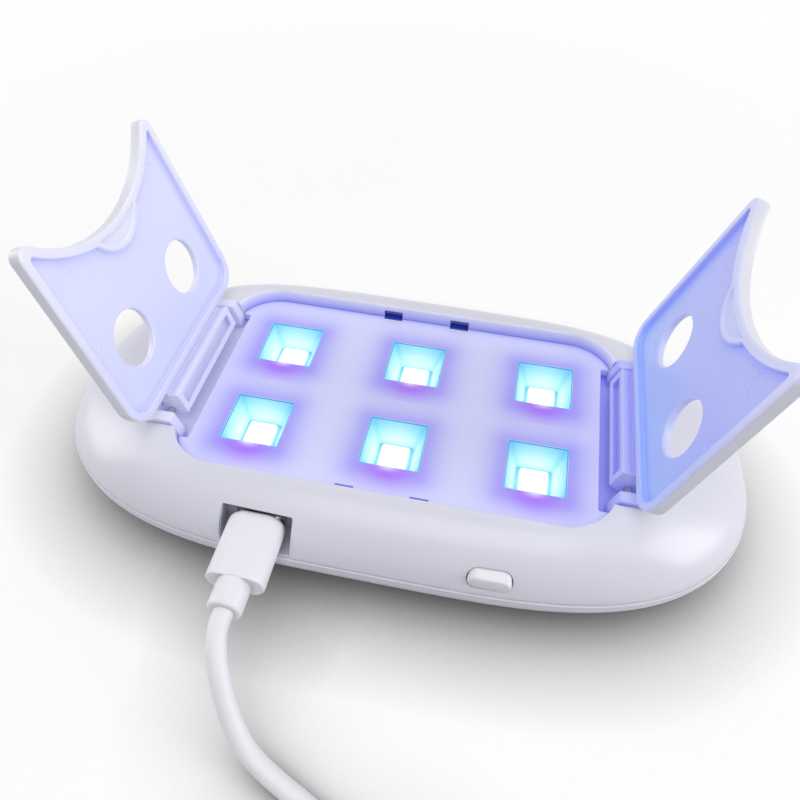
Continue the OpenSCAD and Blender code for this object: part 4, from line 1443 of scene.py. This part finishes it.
    def troughs(self) -> Shape:
        """Hinge trough and the narrower slot above it, with a rounded mouth.

        Returns:
            Both cutting shapes.
        """
        low, high = self.trough_x
        wide = rounded((high - low) / 2, self.trough_y, 0.15, ((low + high) / 2, 0))
        slot = rounded((self.stop_x - low) / 2, self.trough_y, 0.3, ((low + self.stop_x) / 2, 0))
        roof = self.trough_roof
        rings = [level(wide(0), self.trough_z), level(wide(0), roof), level(slot(0), roof)]
        rings += [level(slot(grow), z) for grow, z in lip(0.3, Lamp.crest_z - 0.04)]
        rings.append(level(slot(0.3), Lamp.crest_z + 2))
        return pair(loft(rings))

    def windows(self) -> Shape:
        """Openings in the far wall of the recess, over the hooks that hold the board."""
        (x0, x1), back, top = Lamp.window_x, 25.8, 19.2
        return both_ends(box((x0, Lamp.window_y, Lamp.window_z), (x1, back, top)))

    def ears(self) -> Shape:
        """Four hinge ears with rounded edges.

        Returns:
            The ears.
        """
        section = [(Lamp.hinge_x + x, Lamp.axis_z + z) for x, z in self.ear]
        found = Shape()
        for s in (-1, 1):
            middle = s * (Lamp.ear_gap + Lamp.ear_t) / 2
            found += bevelled(section, middle - Lamp.ear_t / 2, middle + Lamp.ear_t / 2, 0.28)
        return pair(found)

    def build(self) -> None:
        """Makes the housing."""
        finishes = [f.material() for f in (HOUSING_ABS, WALL_ABS, HOUSING_ABS)]
        # The troughs and ears take the hinge finishes, right and left, with painted light and shade
        hinge_finishes = [HINGE_ABS_RIGHT.material(), HINGE_ABS_LEFT.material()]
        piece = solid("housing_moulding", self.shell(), finishes)
        combine(piece, Cut.JOIN, self.front_blocks(), [HOUSING_ABS.material()])
        combine(piece, Cut.JOIN, self.hinge_blocks(), [HOUSING_ABS.material()])
        corners = [v.co for v in piece.data.vertices]
        skin = BVHTree.FromPolygons(corners, [list(p.vertices) for p in piece.data.polygons])
        x0, x1, z0, z1 = self.port
        port = rounded((x1 - x0) / 2, (z1 - z0) / 2, 0.3, ((x0 + x1) / 2, (z0 + z1) / 2))
        socket = rounded(4.57, 1.73, 1.72, (Lamp.port_x, Lamp.socket_z))
        floor = [(port, self.port_back), (socket, self.port_back), (socket, self.hole_back)]
        well = self.sunk(skin, port, 0.18, floor)
        hole = rounded(3.9, 1.75, 1.74, (Lamp.button_x, Lamp.button_z), 12)
        button = self.sunk(skin, hole, 0.16, [(hole, self.hole_back)])
        combine(piece, Cut.AWAY, well + button, [HOUSING_ABS.material()])
        combine(piece, Cut.AWAY, self.troughs(), hinge_finishes)
        # The windows' faces take painted shade
        combine(piece, Cut.AWAY, self.windows(), [WINDOW_ABS.material()])
        combine(piece, Cut.JOIN, self.ears(), hinge_finishes)
        dress(piece, "base", "housing_plastic", "led_housing")


def bevelled(section: Flat, y0: float, y1: float, radius: float) -> Shape:
    """Prism along y with every edge rounded over.

    Args:
        section: corners in x and z.
        y0: front end.
        y1: back end.
        radius: rounding.

    Returns:
        The closed shape.
    """
    work = bmesh.new()
    raw = loft([[(x, y, z) for x, z in section] for y in (y0, y1)])
    corners = [work.verts.new(p) for p in raw.points]
    for face in raw.faces:
        work.faces.new([corners[i] for i in face])
    bmesh.ops.recalc_face_normals(work, faces=work.faces)
    sharp = [edge for edge in work.edges if edge.calc_face_angle(0) > math.radians(25)]
    bmesh.ops.bevel(work, geom=sharp, offset=radius, segments=4, profile=0.5, affect="EDGES")
    work.verts.index_update()
    shape = Shape([tuple(v.co) for v in work.verts], [tuple(v.index for v in f.verts) for f in work.faces],
                  [0] * len(work.faces))
    work.free()
    return shape


@dataclass
class Panel:
    """Lamp panel with its six pockets, the reflector cups under it, and the LEDs."""

    # Gap between the panel and the recess wall, and the roundings of its edge and of the pockets
    gap: float = 0.1
    edge_r: float = 0.15
    pocket_r: float = 0.2
    corner_r: float = 0.25
    # Notch for each hinge trough, with its middle and half size, and the wider one where the plate ends
    notch_x: float = 49
    notch_half: tuple[float, float] = (11, 17.8)
    end_x: float = 41
    end_half: float = 19.1
    # Slots in front for the board's hooks, along x and along y
    slot_x: tuple[float, float] = (5.1, 8.5)
    slot_y: tuple[float, float] = (-22.6, -22.0)
    # Round well of an LED package
    well_r: float = 2.1

    def outline(self) -> Outline:
        """Outline inside the recess wall."""
        return rounded(*Lamp.recess_half, Lamp.recess_r, steps=16)

    def half_at(self, z: float) -> float:
        """Half width of a pocket at a height."""
        slope = (Lamp.pocket_top - Lamp.pocket_bottom) / 2 / (Lamp.panel_z - Lamp.board_top)
        return Lamp.pocket_bottom / 2 + (z - Lamp.board_top) * slope

    def pockets(self) -> Shape:
        """Six square funnels with rounded mouths.

        Returns:
            The cutting shapes.
        """
        foot = Lamp.board_top - 1
        levels = [(self.half_at(foot), foot)]
        levels += [(self.half_at(z) + grow, z) for grow, z in lip(self.pocket_r, Lamp.panel_z)]
        rings = [level(rounded(half, half, self.corner_r, steps=3)(0), z) for half, z in levels]
        # The steep part of each mouth's rounding has a finish of its own, a darker blue of painted shade
        return Lamp.at_leds(loft(rings, paint=[0, 1, 1, 1, 0, 0, 0]))

    def plate(self) -> None:
        """Panel with its flange, pockets, hook slots and window notches."""
        shape = self.outline()
        levels = [(Lamp.tub_wall, Lamp.panel_under), (Lamp.tub_wall, Lamp.flange_z - 0.02),
                  (-self.gap, Lamp.flange_z - 0.02)]
        levels += [(grow - self.gap, z) for grow, z in lip(self.edge_r, Lamp.panel_z, opening=False)]
        piece = solid("panel_moulding", stack(shape, levels), [PANEL_ABS.material()])
        below, above = 10, 20
        trough = rounded(*self.notch_half, 0.3, (self.notch_x, 0), 3)
        notches = both_ends(stack(trough, [(0, below), *lip(0.2, Lamp.panel_z)]))
        ends = both_ends(box((self.end_x, -self.end_half, below), (70, self.end_half, above)))
        (x0, x1), (y0, y1) = self.slot_x, self.slot_y
        slots = both_ends(box((x0, y0, below), (x1, y1, above)))
        for cutter in (notches, ends, slots):
            combine(piece, Cut.AWAY, cutter, [PANEL_ABS.material()])
        (x0, x1), back = Lamp.window_x, 30
        windows = both_ends(box((x0, Lamp.window_y, Lamp.window_z), (x1, back, above)))
        # The windows' faces take painted shade
        combine(piece, Cut.AWAY, windows, [WINDOW_ABS.material()])
        combine(piece, Cut.AWAY, self.pockets(), [POCKET_ABS.material(), POCKET_EDGE_ABS.material()])
        dress(piece, "base", "panel_plastic", "led_panel")

    def cups(self) -> None:
        """Reflector cups that carry the pockets on down to the board."""
        found = []
        top, foot, wall = Lamp.panel_under - 0.01, Lamp.board_top, 1.0
        for half, z in ((self.half_at(foot), foot), (self.half_at(top), top),
                        (self.half_at(top) + wall, top), (self.half_at(foot) + wall, foot)):
            found.append(level(rounded(half, half, self.corner_r if half < 5.5 else 0.6, steps=3)(0), z))
        piece = solid("cup_mouldings", Lamp.at_leds(loft(found, closed=True)), [POCKET_ABS.material()])
        dress(piece, "base", "panel_plastic", "reflector_cups")

    def packages(self) -> None:
        """LED packages: square cups with a round well for the lens."""
        half, base, top = Lamp.led_w / 2, Lamp.board_top, Lamp.board_top + 0.8
        outline = rounded(half, half, 0.45, steps=15)
        well = disc(self.well_r)
        rings = [level(outline(0), base)] + [level(outline(g), z) for g, z in lip(0.12, top, opening=False)]
        rings += [level(well(0.12), top), level(well(0), top - 0.1), level(well(0), base + 0.3)]
        piece = solid("led_package_set", Lamp.at_leds(loft(rings)), [LED_CUP.material()])
        dress(piece, "base", "led_package", "led_packages")

    def build(self) -> None:
        """Makes the panel and what lights it."""
        self.plate()
        self.cups()
        self.packages()
        wear("led_lenses", LENS)


@dataclass
class BackCover:
    """Back cover: the shallow bowl under the seam, with the lip all round and the screw holes."""

    # Half sizes of the flat foot, the power of the bowl's profile with its rings, and the lip's rounding
    foot: tuple[float, float] = (50, 21)
    bowl_p: float = 1.8
    steps: int = 22
    lip_r: float = 0.22
    # Screws: their places, and the radii of post, bore and head, with the shelf under the head
    screw: tuple[float, float] = (51, 13)
    post_r: float = 3.2
    bore_r: float = 1.3
    head_r: float = 2.2
    shelf_z: float = 5.0

    def bowl(self, share: float, z: float, inset: float) -> Ring:
        """Ring between the foot and the lip.

        Args:
            share: 0 at the foot and 1 at the lip.
            z: height.
            inset: how far the ring is drawn in.

        Returns:
            The ring of points.
        """
        inner = Lamp.around(lambda a: Lamp.oval(a, self.foot[0] - inset / 2, self.foot[1] - inset / 2))
        outer = Lamp.around(lambda a: Lamp.oval(a, Lamp.half_l - inset, Lamp.half_w - inset))
        return between(inner, outer, share, z)

    def build(self) -> None:
        """Makes the back cover."""
        rings = [self.bowl(0, 0, 0)]
        flat = [[(x * k, y * k, z) for x, y, z in rings[0]] for k in (0.15, 0.5, 0.85)]
        rings = flat + rings
        for k in range(1, self.steps):
            t = math.radians(90 * k / self.steps)
            z = Lamp.lip_z * (1 - math.cos(t) ** (2 / self.bowl_p))
            rings.append(self.bowl(math.sin(t) ** (2 / self.bowl_p), z, 0))
        under = lip(self.lip_r, Lamp.lip_z, up=-1, opening=False)
        over = lip(self.lip_r, Lamp.seam_z, opening=False)
        rings += [self.bowl(1, z, -grow) for grow, z in under[::-1] + over]
        rings.append(self.bowl(1, Lamp.seam_z, Lamp.wall))
        for k in range(10, -1, -1):
            t = math.radians(90 * k / 11)
            z = Lamp.wall + (Lamp.lip_z - Lamp.wall) * (1 - math.cos(t) ** (2 / self.bowl_p))
            rings.append(self.bowl(math.sin(t) ** (2 / self.bowl_p), z, Lamp.wall))
        rings.append([(x * 0.3, y * 0.3, z) for x, y, z in rings[-1]])
        piece = solid("cover_moulding", loft(rings), [COVER_ABS.material()])
        at = [(sx * self.screw[0], sy * self.screw[1]) for sx in (-1, 1) for sy in (-1, 1)]
        posts, bores = Shape(), Shape()
        for place in at:
            posts += stack(disc(self.post_r, place), [(0, 1.0), (0, 9.8)])
            bore = [level(disc(self.bore_r, place)(0), z) for z in (10.5, self.shelf_z)]
            mouth = [(0, self.shelf_z), *lip(0.25, 0.0, up=-1)]
            bores += loft(bore + [level(disc(self.head_r, place)(g), z) for g, z in mouth])
        combine(piece, Cut.JOIN, posts)
        combine(piece, Cut.AWAY, bores)
        dress(piece, "base", "cover_plastic", "back_cover")


@dataclass
class Leg:
    """A leg plate, drawn folded: u runs from the hinge axis to the middle of the body, and w is up."""

    name: str
    mirrored: bool
    # Half width where the tapered sides reach the hinge axis, and their taper in degrees
    half_w: float = 23.45
    taper: float = 2.4
    # Half thickness, where the plate starts, and the roundings of its corners and of its horns
    half_t: float = 1.3
    inner: float = 4.2
    corner_r: float = 5.2
    horn_r: float = 1.8
    # Middle and radius of the scoop in the free end, and of the tab, with the tab's border
    scoop_u: float = 60.5
    scoop_r: float = 27.0
    tab_u: float = 36.8
    tab_r: float = 8.2
    tab_rim: float = 1.1
    # Middle and radius of a finger hole, and middles and radii of the ejector marks
    hole: Point = (16.0, 10.6, 5.2)
    ejectors: tuple[Point, ...] = ((33, 16, 2.1), (33, -16, 2.1), (22, -19.4, 1.3), (9.4, 15.4, 1.4))
    # Depth of the field's floor, and the rounding of the plate's edges
    floor_w: float = -0.1
    edge_r: float = 0.5
    # Knuckle: both sides of its box, the box's face, and the barrel's radius and half length
    box_u: tuple[float, float] = (-1.1, 3.6)
    box_w: float = -3.1
    barrel_r: float = 1.65
    knuckle_half: float = 13.0

    def beside(self, u: float, inset: float) -> tuple[float, float]:
        """Point on the line inside a tapered side, at a distance from it."""
        lean = math.radians(self.taper)
        return u, self.half_w - inset / math.cos(lean) - u * math.tan(lean)

    def outline(self, rim: float, hinge_rim: float, corner: float, tip: float) -> Flat:
        """Outline of the plate or of the field in it.

        Args:
            rim: how far it is drawn in.
            hinge_rim: how far it is drawn in by the hinge.
            corner: rounding by the hinge.
            tip: rounding of the horns.

        Returns:
            The points.
        """
        m = math.tan(math.radians(self.taper))
        y0 = self.beside(0, rim + tip)[1]
        b = self.scoop_u + m * y0
        left = self.scoop_u ** 2 + y0 ** 2 - (self.scoop_r + rim + tip) ** 2
        horn = self.beside((b - math.sqrt(b * b - (1 + m * m) * left)) / (1 + m * m), rim + tip)
        a = math.degrees(math.atan2(horn[1], self.scoop_u - horn[0]))
        turn = self.beside(self.inner + hinge_rim + corner, rim + corner)
        half = []
        for (cu, cy), radius, start, end, n in ((turn, corner, 180, 90 - self.taper, 12),
                                                (horn, tip, 90 - self.taper, -a, 14),
                                                ((self.scoop_u, 0), self.scoop_r + rim, 180 - a, 180, 32)):
            for k in range(n + 1):
                t = math.radians(start + (end - start) * k / n)
                half.append((cu + radius * math.cos(t), cy + radius * math.sin(t)))
        return half[:-1] + [(u, -y) for u, y in half[::-1]]

    def plate(self, grow: float) -> Flat:
        """Outline of the whole plate, grown."""
        return self.outline(-grow, -grow, self.corner_r + grow, self.horn_r + grow)

    def pan(self, grow: float) -> Flat:
        """Outline of the field inside the rim, grown."""
        return self.outline(1.7 - grow, 1.5 - grow, 3.5 + grow, 0.4 + grow)

    def place(self) -> Matrix:
        """Where the open leg stands.

        Returns:
            The matrix.
        """
        turn = Euler((0, math.radians(-Lamp.open_a), 0)).to_matrix().to_4x4()
        placed = Matrix.Translation((-Lamp.hinge_x, 0, Lamp.axis_z)) @ turn
        return Matrix.Scale(-1, 4, (1, 0, 0)) @ placed if self.mirrored else placed

    def body(self) -> Shape:
        """Plate with rounded edges and the fine step of the mould's parting line.

        Returns:
            The closed surface.
        """
        levels = lip(self.edge_r, -self.half_t, up=-1, opening=False)[::-1]
        lit = len(levels) - 1
        levels += [(0, 0.3), (-0.1, 0.36)]
        levels += [(g - 0.1, w) for g, w in lip(self.edge_r - 0.1, self.half_t, opening=False)]
        # The rounding on the face side takes the rim's finish, with its painted light
        return loft([level(self.plate(grow), w) for grow, w in levels],
                    paint=[1 if k < lit else 0 for k in range(len(levels) - 1)])

    def field_cut(self, radius: float = 0.3) -> Shape:
        """What is cut away to leave the rim, with its rounded mouth and floor corner.

        Args:
            radius: radius of both roundings.

        Returns:
            The cutting shape.
        """
        floor = self.floor_w
        levels = [(-radius, floor), (-radius * 0.4, floor - radius * 0.3), (0.0, floor - radius)]
        return stack(self.pan, levels + lip(radius, -self.half_t, up=-1))

    def tab(self, radius: float = 0.4) -> Shape:
        """Half-round tab that the field leaves standing.

        Args:
            radius: rounding of its edge.

        Returns:
            The closed surface.
        """
        floor = self.floor_w
        levels = [(0.3, floor + 0.5), (0.3, floor), (0.12, floor - 0.1), (0, floor - 0.3)]
        levels += [(-g, w) for g, w in lip(radius, -self.half_t, up=-1)]
        levels[-1] = (levels[-1][0] - 0.05, levels[-1][1] - 0.5)
        return stack(disc(self.tab_r, (self.tab_u, 0), 96), levels)

    def dish(self) -> Shape:
        """Shallow hollow in the tab's face, inside its border and the scoop's.

        Returns:
            The cutting shape.
        """
        face = -self.half_t
        levels = [(-0.5, face + 0.4), (-0.15, face + 0.3), (0.1, face), (0.2, face - 0.2)]
        piece = solid("dish", stack(disc(self.tab_r - self.tab_rim, (self.tab_u, 0), 96), levels),
                      [LEG_ABS.material()])
        inside = [level(self.outline(self.tab_rim - g, 0.5, 3.0, 0.6), w)
                  for g, w in ((-0.4, face + 1), (-0.4, face + 0.35), (0.1, face), (0.2, face - 0.3))]
        combine(piece, Cut.SHARE, loft(inside))
        shape = shape_of(piece)
        bpy.data.objects.remove(piece)
        return shape

    def holes(self) -> Shape:
        """Two finger holes, rounded at the field's floor and at the back.

        Returns:
            Both cutting shapes.
        """
        u, y, r = self.hole
        levels = lip(0.35, self.floor_w, up=-1)[::-1] + lip(0.4, self.half_t)
        return stack(disc(r, (u, y), 96), levels) + stack(disc(r, (u, -y), 96), levels)

    def marks(self) -> Shape:
        """Round ejector marks in the field, a tenth of a millimetre deep.

        Returns:
            The cutting shapes.
        """
        found = Shape()
        for u, y, r in self.ejectors:
            found += stack(disc(r, (u, y), 40),
                           [(-0.06, self.floor_w + 0.09), (0.06, self.floor_w), (0.2, self.floor_w - 0.15)])
        return found

    def knuckle(self) -> Shape:
        """Hinge knuckle: a barrel, a box on the plate's face side, and the neck that joins the plate.

        Returns:
            The closed surface.
        """
        r, neck = self.barrel_r, self.inner + 0.5
        first, last = math.asin(self.half_t / r), math.pi + math.asin(0.4 / r)
        angles = [first + (last - first) * k / 11 for k in range(12)]
        barrel = [(r * math.cos(a), r * math.sin(a)) for a in angles]
        section = [(neck, -1.1), (neck, self.half_t), *barrel, (self.box_u[0], self.box_w),
                   (self.box_u[1], self.box_w), (self.box_u[1], -1.1)]
        return bevelled(section, -self.knuckle_half, self.knuckle_half, 0.22)

    def hollow(self) -> Shape:
        """Hollow in the face of the knuckle's box.

        Returns:
            The cutting shape.
        """
        wall, end_wall, depth = 1.1, 1.5, 1.1
        low, high = self.box_u[0] + wall, self.box_u[1] - wall
        outline = rounded((high - low) / 2, self.knuckle_half - end_wall, 0.3, ((low + high) / 2, 0))
        floor = [(-0.1, self.box_w + depth), (0, self.box_w + depth - 0.1)]
        return stack(outline, floor + lip(0.16, self.box_w, up=-1))

    def build(self) -> None:
        """Makes the leg."""
        plain = LEG_ABS.material()
        # The field, the rim and the knuckle take this side's finishes, with painted LED light and shade
        lit = (FIELD_ABS_RIGHT if self.mirrored else FIELD_ABS_LEFT).material()
        rim = (RIM_ABS_RIGHT if self.mirrored else RIM_ABS_LEFT).material()
        hinge = (HINGE_ABS_RIGHT if self.mirrored else HINGE_ABS_LEFT).material()
        cutter = solid("field", self.field_cut(), [lit])
        combine(cutter, Cut.AWAY, self.tab(), [lit])
        piece = solid(f"{self.name}_moulding", self.body(), [plain, rim])
        combine(piece, Cut.AWAY, shape_of(cutter), [lit])
        bpy.data.objects.remove(cutter)
        combine(piece, Cut.AWAY, self.dish(), [rim])
        combine(piece, Cut.AWAY, self.holes(), [rim])
        combine(piece, Cut.AWAY, self.marks(), [lit])
        combine(piece, Cut.JOIN, self.knuckle(), [hinge])
        combine(piece, Cut.AWAY, self.hollow(), [hinge])
        piece.data.transform(self.place())
        tidy(piece.data)
        dress(piece, self.name, "leg_plastic", self.name)
        wear(f"{self.name.split('_')[0]}_hinge_pins", PIN)


def shape_of(piece: Piece) -> Shape:
    """The shape of an object that isn't dressed yet.

    Args:
        piece: the object, in millimetres.

    Returns:
        Its surfaces, with finish number 0.
    """
    mesh = piece.data
    return Shape([tuple(v.co) for v in mesh.vertices], [tuple(p.vertices) for p in mesh.polygons],
                 [0] * len(mesh.polygons))


@dataclass
class Button:
    """Power button cap: pill-shaped, proud of the sloping front, over the switch's plunger."""

    half: tuple[float, float] = (3.75, 1.6)
    front: float = 34.4
    # Flange behind the skin that keeps the cap in: its back, its front and how far it stands out
    flange_y: tuple[float, float] = (27.7, 28.5)
    flange_w: float = 0.7
    # Stem that presses the switch
    stem_r: float = 1.25
    stem_y: tuple[float, float] = (27.42, 28.2)

    def build(self) -> None:
        """Makes the cap and dresses the switch."""
        cap = rounded(*self.half, self.half[1] - 0.01, steps=14)
        back, ledge = self.flange_y
        rings = [level(cap(self.flange_w), back), level(cap(self.flange_w), ledge), level(cap(0), ledge)]
        # The face is a little domed
        edge, dome = self.front - 0.12, 0.03
        rings += [level(cap(g), z) for g, z in lip(0.5, edge, opening=False, steps=8)]
        rings += [level(cap(-0.5 - k * 0.32), edge + dome * k) for k in (1, 2, 3, 4)]
        at = Matrix.Translation((Lamp.button_x, 0, Lamp.button_z)) @ LAID
        piece = solid("button_moulding", loft(rings).placed(at), [BUTTON_ABS.material()])
        stem = stack(disc(self.stem_r), [(0, y) for y in self.stem_y])
        combine(piece, Cut.JOIN, stem.placed(at))
        dress(piece, "power_button", "button_plastic", "button_cap")
        for node, finish in (("switch_plunger", NYLON_WHITE), ("switch_body", NYLON_BLACK),
                             ("switch_cover", NICKEL), ("switch_dome", SPRING)):
            wear(node, finish)


@dataclass
class Inside:
    """Board, small parts, socket and screws, which keep the frame's shapes."""

    finishes: dict[str, Finish] = field(default_factory=lambda: {
        "led_board": MASK, "timer_chip": EPOXY, "driver_transistor": EPOXY, "current_resistors": FILM,
        "input_capacitor": CERAMIC, "protection_diode": EPOXY, "usb_socket_shell": NICKEL,
        "usb_socket_tongue": NYLON_BLACK, "case_screws": ZINC})

    def build(self) -> None:
        """Dresses each node."""
        for node, finish in self.finishes.items():
            wear(node, finish)


def main() -> None:
    """Builds the studio and the lamp."""
    logging.basicConfig(level=logging.INFO, format="%(name)s %(message)s")
    Studio().build()
    Lead().build()
    Housing().build()
    Panel().build()
    BackCover().build()
    Leg("left_leg", mirrored=False).build()
    Leg("right_leg", mirrored=True).build()
    Button().build()
    Inside().build()


if __name__ == "__main__":
    main()
